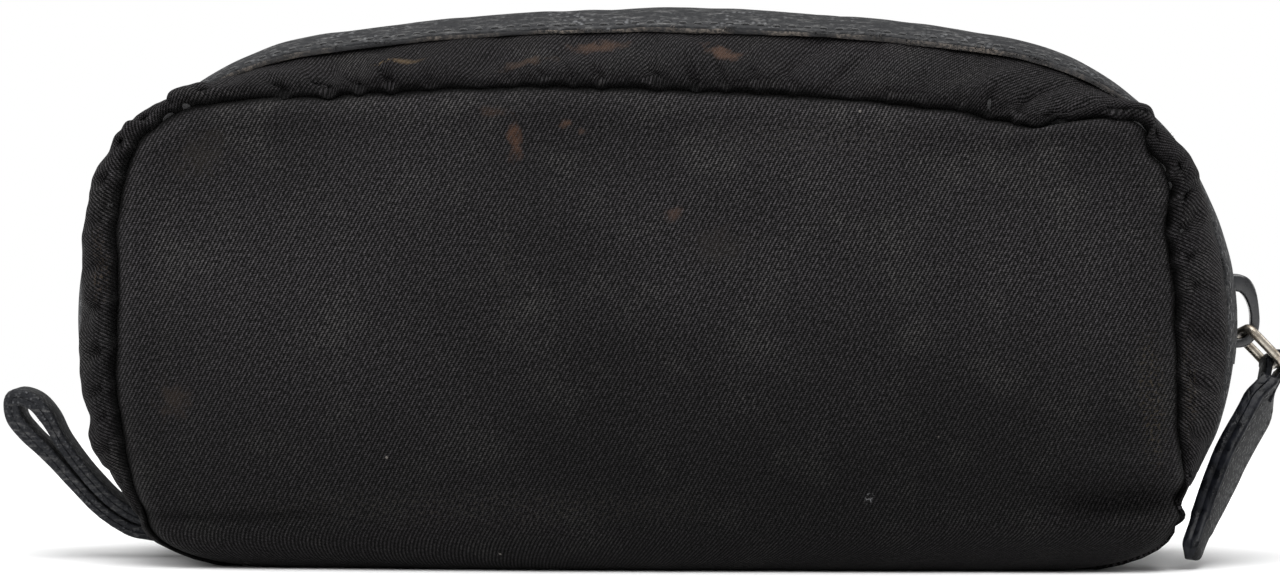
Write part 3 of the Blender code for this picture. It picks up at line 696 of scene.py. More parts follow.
def gusset_surface(share, t, seed, start=11.4, sink=0.75):
    """The gusset from under the trim (t = 0), over its roll, into the seam (t = 1)."""
    along = share * ZIP_LENGTH
    outward = seam_outward(share)
    c = crease(share, seed)
    a = shell(share, start, -sink)
    ahead = unit(shell(share, start + 3, -sink) - a)
    normal = shell(share, start, 1 - sink) - a
    gather = ripple(along, 8.5, seed + 21) + 0.6 * ripple(along, 3.7, seed + 22)
    # The left end of the bag is fuller than the right.
    full = 1 - smooth((share - 0.14) / 0.20)
    end = smooth((np.abs(share - 0.5) - 0.20) / 0.10)
    edge = np.minimum(share, 1 - share)
    toe = smooth((0.055 - edge) / 0.05)
    over = (4.6 + 1.2 * gather + 2.4 * full) * (1 - (0.8 - 0.4 * full) * toe)
    proud = (4.4 + 0.9 * ripple(along, 11.0, seed + 23) + 0.8 * gather) * (1 - 0.55 * toe)
    lift = (0.6 + 2.6 * end + 1.6 * full) * (1 - toe)
    b1 = a + ahead * 5.0 + normal * lift[..., None]
    b2 = c + join(outward[..., 0] * over, -proud, outward[..., 1] * over)
    f = t[..., None]
    points = a * (1 - f) ** 3 + 3 * b1 * f * (1 - f) ** 2 + 3 * b2 * f**2 * (1 - f) + c * f**3
    normal = grid_normals(points)
    middle = (0.0, 0.0, 45.0)
    sign = np.sign(np.sum(normal * (points - middle), axis=-1))
    # Long soft creases that run slantwise, and short ones drawn in by the gathers.
    free = np.sin(np.pi * t)
    slant = ripple(along + t * 12, 14.0, seed + 31) * free
    slant = slant + 0.8 * ripple(along - t * 14, 10.0, seed + 34) * free * smooth(t * 2)
    short = sharp_folds(along - t * 5, 7.5, seed + 32) * bump(t, 0.82, 0.24)
    on_right = smooth((share - 0.70) / 0.06)
    tucks = sharp_folds(along + t * 4, 9.5, seed + 36) * bump(t, 0.66, 0.36) * on_right
    long = sharp_folds(along + t * 10, 15.0, seed + 35) * bump(t, 0.55, 0.3)
    rough = cloud(points, 6.0, seed + 3) * free
    relief = 0.70 * slant - 2.1 * short - 1.3 * long - 2.3 * tucks + 0.5 * rough
    points = points + normal * (sign * relief * (1 - 0.6 * toe))[..., None]
    # The third column is how much painted shade the gusset gets, growing towards the seam's crease.
    return points, join(along - ZIP_LENGTH / 2, t * GUSSET_WIDTH, smooth((t - 0.86) / 0.13))


# ---------------------------------------------------------------- strips, straps and stitches


def loop_faces(columns, ring, closed=False):
    """Faces of a tube of sections with equal numbers of points, capped at both ends or closed."""
    faces = []
    for i in range(columns if closed else columns - 1):
        here, there = i * ring, (i + 1) % columns * ring
        for k in range(ring):
            after = (k + 1) % ring
            faces.append((here + k, here + after, there + after, there + k))
    if not closed:
        faces.append(tuple(range(ring))[::-1])
        faces.append(tuple(range((columns - 1) * ring, columns * ring)))
    return faces


def fix_normals(obj):
    work = bmesh.new()
    work.from_mesh(obj.data)
    bmesh.ops.recalc_face_normals(work, faces=work.faces)
    if work.calc_volume(signed=True) < 0:
        bmesh.ops.reverse_faces(work, faces=work.faces)
    work.to_mesh(obj.data)
    work.free()


def solid(name, vertices, faces, finish, angle=None):
    obj = new_object(name, vertices, faces, finish, smooth_angle=angle)
    fix_normals(obj)
    return obj


def quarter(x, y, radius, first, steps):
    """Points of a quarter circle about (x, y), from an angle in degrees."""
    angles = np.radians(first + 90 * np.arange(steps + 1) / steps)
    return [(x + radius * math.cos(a), y + radius * math.sin(a)) for a in angles]


def rounded_rectangle(half_width, half_height, radius, steps):
    """Corner points of a rounded rectangle, once round."""
    x, y = half_width - radius, half_height - radius
    out = []
    for sx, sy, first in ((1, 1, 0), (-1, 1, 90), (-1, -1, 180), (1, -1, 270)):
        out += quarter(sx * x, sy * y, radius, first, steps)
    return np.array(out)


def sweep(name, path, sides, ups, section, finish, scales=None, closed=False, angle=50):
    """A solid swept along a path: section points lie along the side and up directions."""
    path, sides, ups = (np.asarray(v, float) for v in (path, sides, ups))
    scales = np.ones((len(path), 2)) if scales is None else np.asarray(scales, float)
    points = (
        path[:, None]
        + sides[:, None] * (section[None, :, 0] * scales[:, :1])[..., None]
        + ups[:, None] * (section[None, :, 1] * scales[:, 1:])[..., None]
    )
    faces = loop_faces(len(path), len(section), closed)
    return solid(name, points.reshape(-1, 3), faces, finish, angle)


def stitches(name, path, ups, finish, length, pitch, radius, seed):
    """A row of sewn stitches lying along a path, each dipping in at its ends."""
    at = run_length(path)
    rng = np.random.default_rng(seed)
    vertices, faces, ring, parts = [], [], 6, 5

    def placed(values, where):
        return join(*(np.interp(where, at, values[:, c]) for c in range(3)))

    for k in range(int(at[-1] / pitch)):
        rng.random()  # unused, but the stitches' places depend on this draw
        begin = (k + 0.5) * pitch - length / 2 + rng.normal(0, 0.05)
        base = len(vertices)
        along = placed(path, begin + length * np.linspace(0, 1, parts))
        up = unit(placed(ups, begin + length / 2))
        side = np.cross(unit(along[-1] - along[0]), up)
        for f, point in zip(np.linspace(-1, 1, parts), along):
            lift = radius * (0.9 - 1.9 * f**4)
            wide = radius * (1 - 0.55 * f**4)
            for a in 2 * np.pi * np.arange(ring) / ring:
                vertices.append(point + up * (lift + wide * math.sin(a)) + side * (wide * math.cos(a)))
        faces += [tuple(base + v for v in f) for f in loop_faces(parts, ring)]
    return solid(name, vertices, faces, finish)


def fibres(name, roots, tips, finish, width=0.14):
    """Loose fibres: a three-sided spike from each root to its tip."""
    vertices, faces = [], []
    for root, tip in zip(roots, tips):
        a = len(vertices)
        b, c, point = a + 1, a + 2, a + 3
        side = unit(np.cross(tip - root, (0.3, 1.0, 0.5)))
        other = unit(np.cross(side, tip - root))
        for turn in (0.0, 2.1, 4.2):
            vertices.append(root + (side * math.cos(turn) + other * math.sin(turn)) * width)
        vertices.append(tip)
        faces += [(a, c, b), (a, b, point), (b, c, point), (c, a, point)]
    return solid(name, vertices, faces, finish)


def strip_frame(share, depth, height, side):
    """Points on the shell with the directions across it (away from the zip) and up from it."""
    at = shell(share, depth, height)
    ahead = unit(shell(share, depth + 0.2, height) - at)
    up = unit(shell(share, depth, height + 0.2) - at)
    return on_side(at, side), on_side(ahead, side), on_side(up, side)


def bend(obj):
    """Bakes the piece's placement into its mesh."""
    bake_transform(obj)


# Across the trim, as (share of its width, height): a rounded inner edge, a flat top with a stitched
# groove, and a raw outer edge, which is the faces RAW_FACES.
GROOVE = 0.865
TRIM_SECTION = (
    (0.00, -0.25), (-0.012, 0.70), (0.01, 1.15), (0.05, 1.38), (0.14, 1.45), (0.32, 1.48), (0.52, 1.47),
    (0.70, 1.42), (0.82, 1.32), (GROOVE, 1.12), (0.91, 1.28), (0.965, 1.18), (0.99, 0.85), (1.0, 0.3),
    (0.99, -0.3), (0.6, -0.5), (0.3, -0.5),
)
RAW_FACES = (12, 13)
TRIM_FIBRES, TRIM_TUFTS = 260, 40


def leather_trim(side, finishes):
    """The leather band beside the zip: thick, slightly wavy, with a pale raw edge and a stitch row."""
    word = WORDS[side]
    columns, ring = 300, len(TRIM_SECTION)
    share = np.linspace(0.004, 0.996, columns)
    along = share * ZIP_LENGTH
    seed = 40 if side == FRONT else 60
    inner = 4.9 + 0.12 * ripple(along, 9, seed)
    ends = smooth((np.abs(share - 0.5) - 0.22) / 0.10)
    outer = 13.5 - 1.0 * ends + 0.25 * ripple(along, 11, seed + 1) + 0.14 * ripple(along, 3.1, seed + 2)
    lift = 0.20 * ripple(along, 14, seed + 3) + 0.10 * ripple(along, 4.5, seed + 4) - 0.25 - 0.75 * ends
    rows = [shell(share, inner + (outer - inner) * a, h + lift * (h > 0.2)) for a, h in TRIM_SECTION]
    points = on_side(np.stack(rows, axis=1), side).reshape(-1, 3)
    obj = new_object(f"{word}_trim_leather", points, loop_faces(columns, ring), finishes, smooth_angle=60)
    for polygon in obj.data.polygons:
        if len(polygon.vertices) == 4 and polygon.index % ring in RAW_FACES:
            polygon.material_index = 1
    fix_normals(obj)
    groove = inner + (outer - inner) * GROOVE
    at, _, up = strip_frame(share[2:-2], groove[2:-2], 1.1 + lift[2:-2], side)
    row = stitches(f"{word}_trim_stitches", at, up, finishes[2], 2.1, 2.9, 0.23, seed)
    # Fibres that fray from the cut edge, in tufts
    rng = np.random.default_rng(seed + 7)
    tufts = rng.choice(rng.uniform(0.1, 0.9, TRIM_TUFTS), TRIM_FIBRES)
    spots = np.clip(tufts + rng.normal(0, 0.002, TRIM_FIBRES), 0.02, 0.98)
    edge, raised = np.interp(spots, share, outer), np.interp(spots, share, lift)
    root, ahead, up = strip_frame(spots, edge - 0.2, 0.7 + raised, side)
    reach = rng.uniform((0.4, -0.2), (1.3, 0.9), (TRIM_FIBRES, 2))
    sway = rng.uniform(-0.5, 0.5, (TRIM_FIBRES, 3))
    tips = root + ahead * reach[:, :1] + up * reach[:, 1:] + sway
    fray = fibres(f"{word}_trim_fray", root, tips, finishes[1], 0.16)
    for piece in (obj, row, fray):
        bend(piece)
    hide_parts(f"{word}_leather_trim")


TOOTH_PITCH, TEETH_START = 2.6, 7.4
# Half lengths of a tooth, by distance from the mid-plane: a head, a waist and a root.
TOOTH_PLAN = (
    (-0.50, 0.28), (-0.34, 0.46), (0.05, 0.52), (0.45, 0.34), (1.0, 0.36), (1.5, 0.62), (2.65, 0.66),
)
# Across a tooth, as (share of its half length, height)
TOOTH_SECTION = ((-1, -2.2), (-0.85, -1.0), (0, -0.82), (0.85, -1.0), (1, -2.2), (0, -2.45))


def zip_teeth(side, finish):
    """Moulded teeth whose rounded heads mesh with those of the other row."""
    word = WORDS[side]
    back = side == BACK
    count = int((ZIP_LENGTH - 2 * TEETH_START) / TOOTH_PITCH)
    first = (ZIP_LENGTH - count * TOOTH_PITCH) / 2 + back * TOOTH_PITCH / 2
    tooth = loop_faces(len(TOOTH_PLAN), len(TOOTH_SECTION))
    vertices, faces = [], []
    for k in range(count - back):
        base = len(vertices)
        for depth, half in TOOTH_PLAN:
            vertices += [(first + k * TOOTH_PITCH + half * a, depth, h) for a, h in TOOTH_SECTION]
        faces += [tuple(base + v for v in f) for f in tooth]
    along, depth, height = np.array(vertices).T
    points = shell(np.clip(along / ZIP_LENGTH, 0, 1), np.maximum(depth, 0.0), height)
    points[:, 1] = -depth
    obj = solid(f"{word}_teeth", on_side(points, side), faces, finish, 35)
    bend(obj)
    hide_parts(f"{word}_zip_teeth")


# ---------------------------------------------------------------- zip hardware, pull and loop

RING_PIVOT = np.array([109.63, 0.0, 43.06])
RING_SLOPE = math.radians(44)
RING_ALONG = np.array([math.sin(RING_SLOPE), 0.0, -math.cos(RING_SLOPE)])
RING_BAR = np.array([-0.1740, 0.9703, -0.1681])
RING_LENGTH, RING_HALF_WIDTH, RING_CORNER, WIRE_RADIUS = 8.5, 4.35, 1.5, 0.88
EYE = RING_PIVOT + RING_ALONG * RING_LENGTH
TAB_LENGTH, TAB_HALF_WIDTH, TAB_TIP_HALF_WIDTH, TAB_HALF_THICKNESS = 38.0, 6.0, 2.5, 1.8


def turned(vectors, axes, angles):
    """Vectors turned about unit axes by angles in radians."""
    c, s = np.cos(angles)[:, None], np.sin(angles)[:, None]
    dot = np.sum(vectors * axes, axis=1, keepdims=True)
    return vectors * c + np.cross(axes, vectors) * s + axes * dot * (1 - c)


# Along the bridge, as (degrees round the end arc, height over the zip)
BRIDGE = (
    (8.1, -0.4), (8.0, 0.9), (7.3, 2.1), (5.6, 3.0), (3.0, 3.55), (0.4, 3.7), (-1.6, 3.4), (-3.0, 2.6),
    (-3.8, 1.3), (-4.0, -0.4),
)


def along_x(path):
    """The directions of a path in the mid-plane, of its width and of its upper side."""
    tangent = unit(np.gradient(path, axis=0))
    side = np.tile([0.0, 1.0, 0.0], (len(path), 1))
    return tangent, side, unit(np.cross(side, tangent))


def slider_bridge(finish):
    """The flat arch over the slider: a thick bevelled shoulder at the top, thinner lower down."""
    degrees, height = np.array(BRIDGE).T
    a, r = np.radians(degrees), END_RADIUS + height
    path = spline(join(END_X + r * np.cos(a), 0 * r, END_HEIGHT + r * np.sin(a)), 7)
    _, side, under = along_x(path)
    share = np.linspace(0, 1, len(path))
    thick = 2.0 - 0.95 * smooth((share - 0.16) / 0.34)
    wide = 1.06 - 0.16 * smooth((share - 0.3) / 0.5)
    section = rounded_rectangle(2.0, 0.80, 0.34, 3)
    obj = sweep("bridge", path, side, -under, section, finish, join(wide, thick))
    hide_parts("slider_bridge")
    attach(obj, "slider")


def pull_ring(finish):
    """The oblong ring of nickel wire."""
    normal = unit(np.cross(RING_BAR, RING_ALONG))
    flat = rounded_rectangle(RING_HALF_WIDTH, RING_LENGTH / 2, RING_CORNER, 8)
    path = []
    for p, q in zip(flat, np.roll(flat, -1, axis=0)):
        pieces = 5 if math.dist(p, q) > 1 else 1
        for across, along in (p + (q - p) * i / pieces for i in range(pieces)):
            path.append(RING_PIVOT + RING_BAR * across + RING_ALONG * (RING_LENGTH / 2 + along))
    path = np.array(path)
    sides = unit(np.cross(np.roll(path, -1, axis=0) - np.roll(path, 1, axis=0), normal))
    ups = np.tile(normal, (len(path), 1))
    angles = np.linspace(0, 2 * np.pi, 16, endpoint=False)
    wire = join(np.cos(angles), np.sin(angles)) * WIRE_RADIUS
    obj = sweep("wire_ring", path, sides, ups, wire, finish, closed=True, angle=80)
    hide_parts("pull_ring")
    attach(obj, "ring")


def leaf_section(half_width, half_thickness):
    """Two leaves of leather pressed together: rounded corners and a fine groove along each edge."""
    radius, groove, lip = 0.55, 0.20, 0.16
    x, y = half_width - radius, half_thickness - radius
    notch = [(half_width, -lip), (half_width - groove, 0.0), (half_width, lip)]
    half = np.array(quarter(x, -y, radius, -90, 3) + notch + quarter(x, y, radius, 0, 3))
    return np.vstack([half, -half])


def paint_edges(obj, section, half_width):
    """Gives the faces along a strap's edges, and its ends, the second material."""
    near_edge = np.abs(section[:, 0] + np.roll(section[:, 0], -1)) / 2 > half_width - 0.5
    for polygon in obj.data.polygons:
        if len(polygon.vertices) != 4 or near_edge[polygon.index % len(section)]:
            polygon.material_index = 1


def strap(name, path, side, up, section, half_width, finishes, scales=None):
    obj = sweep(name, path, side, up, section, finishes, scales)
    paint_edges(obj, section, half_width)
    return obj


# Half widths of the tab, by distance from the eye
TAB_REACHES = (3.4, 3.7, 4.6, 9.0, 15.0, 21.0, 27.0, 31.0, 34.8)
TAB_HALF_WIDTHS = (4.4, 5.2, 5.7, 6.0, 6.0, 5.6, 4.4, 3.2, 2.5)
SEWN = slice(4, 30)  # the sections of the tab between its shoulder and its tip


def pull_tab(finishes):
    """The leather pull: a tongue folded round the ring, and a broad tab of two leaves that twists."""
    lean = math.radians(22)
    down = np.array([-math.sin(lean), 0.0, -math.cos(lean)])
    down = unit(down - RING_BAR * np.dot(down, RING_BAR))
    flat = unit(np.cross(down, RING_BAR))
    # The tongue
    leaf = np.array([(7.5, 0.72), (5.0, 0.78), (3.4, 1.0)])
    turns = np.radians(np.linspace(50, 310, 19))
    loop = np.vstack([leaf, join(np.cos(turns), np.sin(turns)) * 1.8, leaf[::-1] * (1, -1)])
    path = EYE + down * loop[:, :1] + flat * loop[:, 1:]
    side = np.tile(RING_BAR, (len(path), 1))
    up = unit(np.cross(side, unit(np.gradient(path, axis=0))))
    tongue = strap("tongue_leather", path, side, up, rounded_rectangle(2.9, 0.62, 0.28, 2), 2.9, finishes)
    # The tab: broad below its tongue, then narrowing to a half-round tip
    tip, radius = TAB_LENGTH, TAB_TIP_HALF_WIDTH
    round_end = np.radians([8, 16, 24, 32, 40, 48, 56, 63, 69, 75, 80, 84, 87])
    reaches = np.concatenate([
        [3.4, 3.6, 4.1, 5.0], np.linspace(6.2, tip - radius, 30), tip - radius * (1 - np.sin(round_end)),
    ])
    widths = np.interp(reaches, TAB_REACHES, TAB_HALF_WIDTHS)
    widths[-len(round_end):] = radius * np.cos(round_end)
    share = reaches / tip
    path = EYE + down * reaches[:, None]
    path[:, 1] -= 10.0 * share**2
    path[:, 0] += 0.4 * np.sin(share * np.pi * 1.6) - 3.6 * smooth(reaches / 20) * share**0.5
    tangent = unit(np.gradient(path, axis=0))
    base_flat = unit(np.cross(tangent, (0.0, 1.0, 0.0)))
    base_side = unit(np.cross(base_flat, tangent))
    twist = math.radians(6) + math.radians(18) * smooth((reaches - 3.4) / 6)
    sides, ups = turned(base_side, tangent, twist), turned(base_flat, tangent, twist)
    thick = 1 + 0.06 * ripple(reaches, 6, 77) - 0.16 * smooth((reaches - tip + 6.5) / 1.2)
    thick = thick * np.sqrt(1 - 0.9 * np.clip((reaches - tip + 1.8) / 1.8, 0, 1) ** 2)
    widths = widths / TAB_HALF_WIDTH * (1 + 0.012 * ripple(reaches, 7, 78))
    section = leaf_section(TAB_HALF_WIDTH, TAB_HALF_THICKNESS)
    tab = strap("tab_leather", path, sides, ups, section, TAB_HALF_WIDTH, finishes, join(widths, thick))
    rows = []
    aside = sides[SEWN] * (0.76 * widths[SEWN] * TAB_HALF_WIDTH)[:, None]
    for face, sign in (("outer", 1), ("inner", -1)):
        up = ups[SEWN] * sign
        raised = path[SEWN] + up * (TAB_HALF_THICKNESS * thick[SEWN] - 0.12)[:, None]
        line, up = np.vstack([raised + aside, (raised - aside)[::-1]]), np.vstack([up, up[::-1]])
        rows.append(stitches(f"tab_stitches_{face}", line, up, finishes[2], 1.7, 2.4, 0.14, 81))
    for piece in (tab, tongue, *rows):
        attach(piece, "pull")
    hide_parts("pull_tab")


# Up the loop, as (x, z, half the distance between its two sides)
LOOP = (
    (-92.5, 5.7, 1.35), (-95.2, 6.1, 1.35), (-98.5, 6.9, 1.35), (-103.5, 10.2, 1.36), (-108.5, 15.4, 1.40),
    (-113.0, 20.8, 1.75), (-116.3, 25.0, 2.50), (-118.9, 28.1, 2.25),
)
LOOP_TIP = (-120.6, 0.0, 30.2)
LOOP_HALF_WIDTH, LOOP_HALF_THICKNESS, LOOP_FIBRES = 4.9, 1.22, 70


def end_loop(finishes):
    """The leather loop: a strap folded back on itself, sewn together up to its eye."""
    x, z, apart = np.array(LOOP).T
    spine = join(x, 0 * x, z)
    ahead = unit(np.gradient(np.vstack([spine, LOOP_TIP]), axis=0)[:-1])
    aside = join(ahead[:, 2], 0 * x, -ahead[:, 0]) * apart[:, None]
    path = spline(np.vstack([spine - aside, LOOP_TIP, (spine + aside)[::-1]]), 8)
    tangent, side, up = along_x(path)
    length = run_length(path)
    section = leaf_section(LOOP_HALF_WIDTH, LOOP_HALF_THICKNESS)
    wide = 1 + 0.02 * ripple(length, 6, 91)
    thick = 1 + 0.07 * ripple(length, 4, 92) + 0.28 * bump(length, length[-1] / 2, 9.0)
    scales = join(wide, thick)
    obj = strap("loop_leather", path, side, up, section, LOOP_HALF_WIDTH, finishes, scales)
    # Fibres and thread ends that fray into the eye
    rng = np.random.default_rng(93)
    mid = len(path) // 2
    inward = up * np.sign(np.sum(up[mid] * (spine[-2] - path[mid])))
    at = rng.integers(mid - 15, mid + 16, LOOP_FIBRES)
    reach = rng.uniform((-4.6, 0.25, -0.6, -0.5), (4.6, 0.85, 0.6, 0.5), (LOOP_FIBRES, 4))
    roots = path[at] + inward[at] * 1.1 + side[at] * reach[:, :1]
    tips = roots + inward[at] * reach[:, 1:2] + tangent[at] * reach[:, 2:3] + side[at] * reach[:, 3:]
    fray = fibres("loop_fray", roots, tips, finishes[2])
    rows = []
    for face, y in (("front", -3.6), ("back", 3.6)):
        for name, part in (("under", slice(8, mid - 20)), ("upper", slice(mid + 20, -8))):
            line = path[part] - inward[part] * 1.08 + side[part] * y
            name = f"loop_stitches_{name}_{face}"
            rows.append(stitches(name, line, -inward[part], finishes[2], 1.9, 2.8, 0.12, 95))
    for piece in (obj, fray, *rows):
        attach(piece, "loop")
    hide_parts("end_loop")


# ---------------------------------------------------------------- the bag, piece by piece


def shell_half(side, panel_twill, gusset_twill, lining_cloth, tape_cloth, binding_cloth):
    """Panel, gusset, linings, tape and seam binding of one half of the bag."""
    word = WORDS[side]
    seed = 3 if side == FRONT else 103
    panel_flip, gusset_flip = side == BACK, side == FRONT

    def cloth(name, node, surface, finish, flip, thickness, level=0):
        points, uvs = surface
        piece = add_grid(f"{word}_{name}", on_side(points, side), uvs, finish, flip, thickness, level)
        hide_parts(f"{word}_{node}")
        bend(piece)
        return piece

    surface = with_tray(*panel_surface(*panel_square(150, 46, 34), seed), False, 1)
    cloth("panel_cloth", "panel", surface, panel_twill, panel_flip, PANEL_THICK, 1)

    surface = with_tray(*gusset_surface(*lattice((0, 1, 840), (0, 1, 36)), seed), True, 0)
    cloth("gusset_cloth", "gusset", surface, gusset_twill, gusset_flip, GUSSET_THICK)

    u, v = panel_square(60, 22, 16)
    points, uvs = panel_surface(u * 0.985, np.where(v < 0, v, v * 0.985), seed, 0.5)
    points[..., 1] += LINING_GAP
    points[..., 2] = np.maximum(points[..., 2], 5.0)
    surface = points, uvs
    cloth("panel_lining_cloth", "lining", surface, lining_cloth, panel_flip, LINING_THICK, 1)

    share, t = lattice((0, 1, 160), (0, 0.93, 9))
    points, uvs = gusset_surface(share, t, seed, 12.8, 2.2)
    out_x, out_z = np.moveaxis(seam_outward(share), -1, 0)
    inward = join(-out_x, 0 * t, -out_z) * 1.7
    points = points + inward * smooth(t * 2)[..., None] + np.array([0, 1.6, 0]) * t[..., None] ** 2
    surface, name = (points, uvs), "gusset_lining"
    cloth(f"{name}_cloth", name, surface, lining_cloth, gusset_flip, LINING_THICK, 1)

    share, depth = lattice((0.004, 0.996, 240), (1.4, 13.0, 6))
    surface = shell(share, depth, -1.25), join(share * ZIP_LENGTH, depth)
    cloth("tape_cloth", "zip_tape", surface, tape_cloth, gusset_flip, TAPE_THICK)

    share, t = lattice((0.01, 0.99, 260), (0, 1, 5))
    out_x, out_z = np.moveaxis(seam_outward(share), -1, 0)
    diagonal, across = (join(k * out_x, 0 * t + 1, k * out_z) / math.sqrt(2) for k in (-1, 1))
    sway = 0.5 * ripple(share * SEAM_LENGTH, 12, seed + 71) * t
    reach = SEAM_ALLOWANCE + BINDING_WIDTH * t
    points = crease(share, seed) + diagonal * reach[..., None] + across * sway[..., None]
    surface = points, join(share * SEAM_LENGTH, t * BINDING_WIDTH)
    binding = cloth("binding_tape", "seam_binding", surface, binding_cloth, False, BINDING_THICK)
    binding.modifiers["Thickness"].offset = 0


def base_cloth(finish, lining_cloth):
    """The cloth under the bag, which turns up at both ends between the gussets, and its lining."""
    angles = np.radians(np.linspace(12, 90, 10))
    y = np.linspace(-14.2, 14.2, 24)
    foot = shell(1.0, np.abs(y), -0.4)
    foot[:, 1], foot[:, 2] = y, FOOT
    right = [tray(foot, angle) for angle in angles]
    for inwards, rise in ((0.0, 2.0), (0.4, 4.5)):
        right.append(foot + (rise * 0.75 - inwards - 0.6, 0, rise))
    left = [at * (-1, 1, 1) for at in right[::-1]]
    reach = foot[:, 0] * (1 - TURN_SHARE * (1 - math.sin(angles[0])))
    shares = np.linspace(-1, 1, 60)[1:-1]
    flat = [join(f * reach, y * (1 + 0.6 * (1 - abs(f) ** 6)), 0 * y + 0.12) for f in shares]
    points = np.array(left + flat + right)
    sag = cloud(points * (1, 1, 0), 30.0, 17) * 0.25
    points[..., 2] = np.maximum(points[..., 2] + np.abs(sag), 0.05)
    obj = add_grid("base_cloth", points, points[..., :2], finish, True, GUSSET_THICK, 1)
    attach(obj, "base")
    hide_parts("base_panel")

    x, y = lattice((-86, 86, 60), (-25.5, 25.5, 24))
    rise = 5.0 * (np.maximum(np.abs(x) - 74, 0) / 12) ** 2 + 5.0 * (np.maximum(np.abs(y) - 20, 0) / 5.5) ** 2
    z = 1.9 + np.minimum(rise, 6.5) + 0.35 * np.abs(cloud(join(x, y, 0 * x), 22.0, 19))
    lining = add_grid("base_lining_cloth", join(x, y, z), join(x, y), lining_cloth, False, LINING_THICK, 1)
    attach(lining, "base")
    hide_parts("base_lining")


def bevelled(node, finish):
    """A CAD piece kept as it is, with its finish and softened edges."""
    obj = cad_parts[node]
    obj.data.materials.clear()
    obj.data.materials.append(finish)
    round_off = obj.modifiers.new("Soft edges", "BEVEL")
    round_off.width, round_off.segments, round_off.limit_method = 0.22 * MM, 3, "ANGLE"
    round_off.angle_limit = math.radians(35)


PANEL_STAINS = (
    # centre, half size, turn, tint, strength, dusty
    ((-24.6, 78.8), (1.7, 5.2), 4, (0.058, 0.030, 0.019), 0.75, False),
    ((-28.5, 83.8), (3.2, 1.4), 0, (0.040, 0.024, 0.017), 0.4, False),
    ((-15.4, 81.6), (1.6, 0.9), 15, (0.075, 0.042, 0.028), 0.6, False),
    ((-12.5, 80.2), (1.2, 0.8), 0, (0.055, 0.035, 0.027), 0.5, False),
    ((4.3, 65.3), (2.2, 1.9), 0, (0.055, 0.034, 0.026), 0.55, False),
    ((12.0, 60.0), (7.0, 5.0), 0, (0.016, 0.0135, 0.012), 0.4, False),
    ((-87.0, 31.0), (4.0, 5.0), 10, (0.026, 0.019, 0.015), 0.45, False),
    ((-82.0, 76.0), (8.0, 5.0), 30, (0.020, 0.017, 0.014), 0.4, False),
    ((39.9, 14.0), (1.0, 1.9), -12, (0.16, 0.16, 0.165), 0.9, True),
    ((-26.0, 55.0), (1.6, 16.0), 0, (0.030, 0.027, 0.024), 0.5, True),
    ((91.0, 32.0), (3.5, 17.0), 4, (0.050, 0.040, 0.026), 0.5, True),
    ((30.0, 79.0), (30.0, 5.0), 0, (0.050, 0.046, 0.042), 0.35, True),
    ((-30.0, 12.0), (60.0, 5.0), 0, (0.040, 0.036, 0.031), 0.30, True),
)
GUSSET_STAINS = (
    ((-49.0, 9.0), (6.5, 0.7), -8, (0.17, 0.12, 0.065), 0.8, True),
    ((-47.0, 8.4), (4.0, 1.2), -8, (0.085, 0.060, 0.035), 0.7, False),
    ((-10.0, 6.0), (7.0, 2.2), 0, (0.060, 0.036, 0.025), 0.65, False),
    ((13.5, 8.0), (4.5, 2.2), 20, (0.075, 0.043, 0.030), 0.65, False),
    ((-24.0, 10.5), (7.0, 1.5), -10, (0.055, 0.036, 0.026), 0.5, False),
    ((150.0, 14.0), (16.0, 2.5), 0, (0.05, 0.04, 0.028), 0.4, True),
    ((-128.0, 14.0), (10.0, 3.0), 0, (0.06, 0.045, 0.033), 0.5, True),
)

stitch_thread = thread("black_thread", (0.020, 0.020, 0.021))
trim_leather = leather("embossed_leather", worn=0.7, shine=0.25)
pull_leather = leather("smooth_leather", 0.0007, 0.12, 0.00004, 0.6, 0.10)
worn_leather = leather("rubbed_leather", 0.0010, 0.5, 0.00010, 0.8, 0.14)
worn_edge = leather("rubbed_leather_edge", 0.0008, 0.55, 0.00012, 1.7, 0.12)
edge_paint = painted_edge()
WARP, GUSSET_WARP = math.radians(62), math.radians(-60)
front_cloth = (
    twill("panel_twill", WARP, PANEL_STAINS, painted_shade_low=(8, 62, 0.42)),
    twill("gusset_twill", GUSSET_WARP, GUSSET_STAINS, 3.0, 0.8),
)
back_cloth = (
    twill("back_panel_twill", WARP, (), 7.0, painted_shade_low=(14, 66, 0.45)),
    twill("back_gusset_twill", GUSSET_WARP, (), 9.0, 0.8),
)
base_twill = twill("base_twill", WARP, (), 12.0, 0.7)
lining_weave = plain_weave("lining_weave", (0.012, 0.012, 0.013), (0.040, 0.039, 0.040), 0.00042)
tape_weave = plain_weave("tape_weave", (0.006, 0.006, 0.0065), (0.022, 0.022, 0.023), 0.0009, True)
binding_weave = plain_weave("binding_weave", (0.010, 0.010, 0.010), (0.030, 0.030, 0.031), 0.0007)
black_enamel = enamel()

shell_half(FRONT, *front_cloth, lining_weave, tape_weave, binding_weave)
shell_half(BACK, *back_cloth, lining_weave, tape_weave, binding_weave)
base_cloth(base_twill, lining_weave)
for facing in (FRONT, BACK):
    leather_trim(facing, [trim_leather, raw_edge(), stitch_thread])
    zip_teeth(facing, black_enamel)
for cad_node in ("zip_slider", "left_zip_stop", "right_zip_stop"):
    bevelled(cad_node, black_enamel)
slider_bridge(black_enamel)
pull_ring(nickel())
pull_tab([pull_leather, edge_paint, stitch_thread])
end_loop([worn_leather, worn_edge, stitch_thread])


# ---------------------------------------------------------------- floor, light and camera


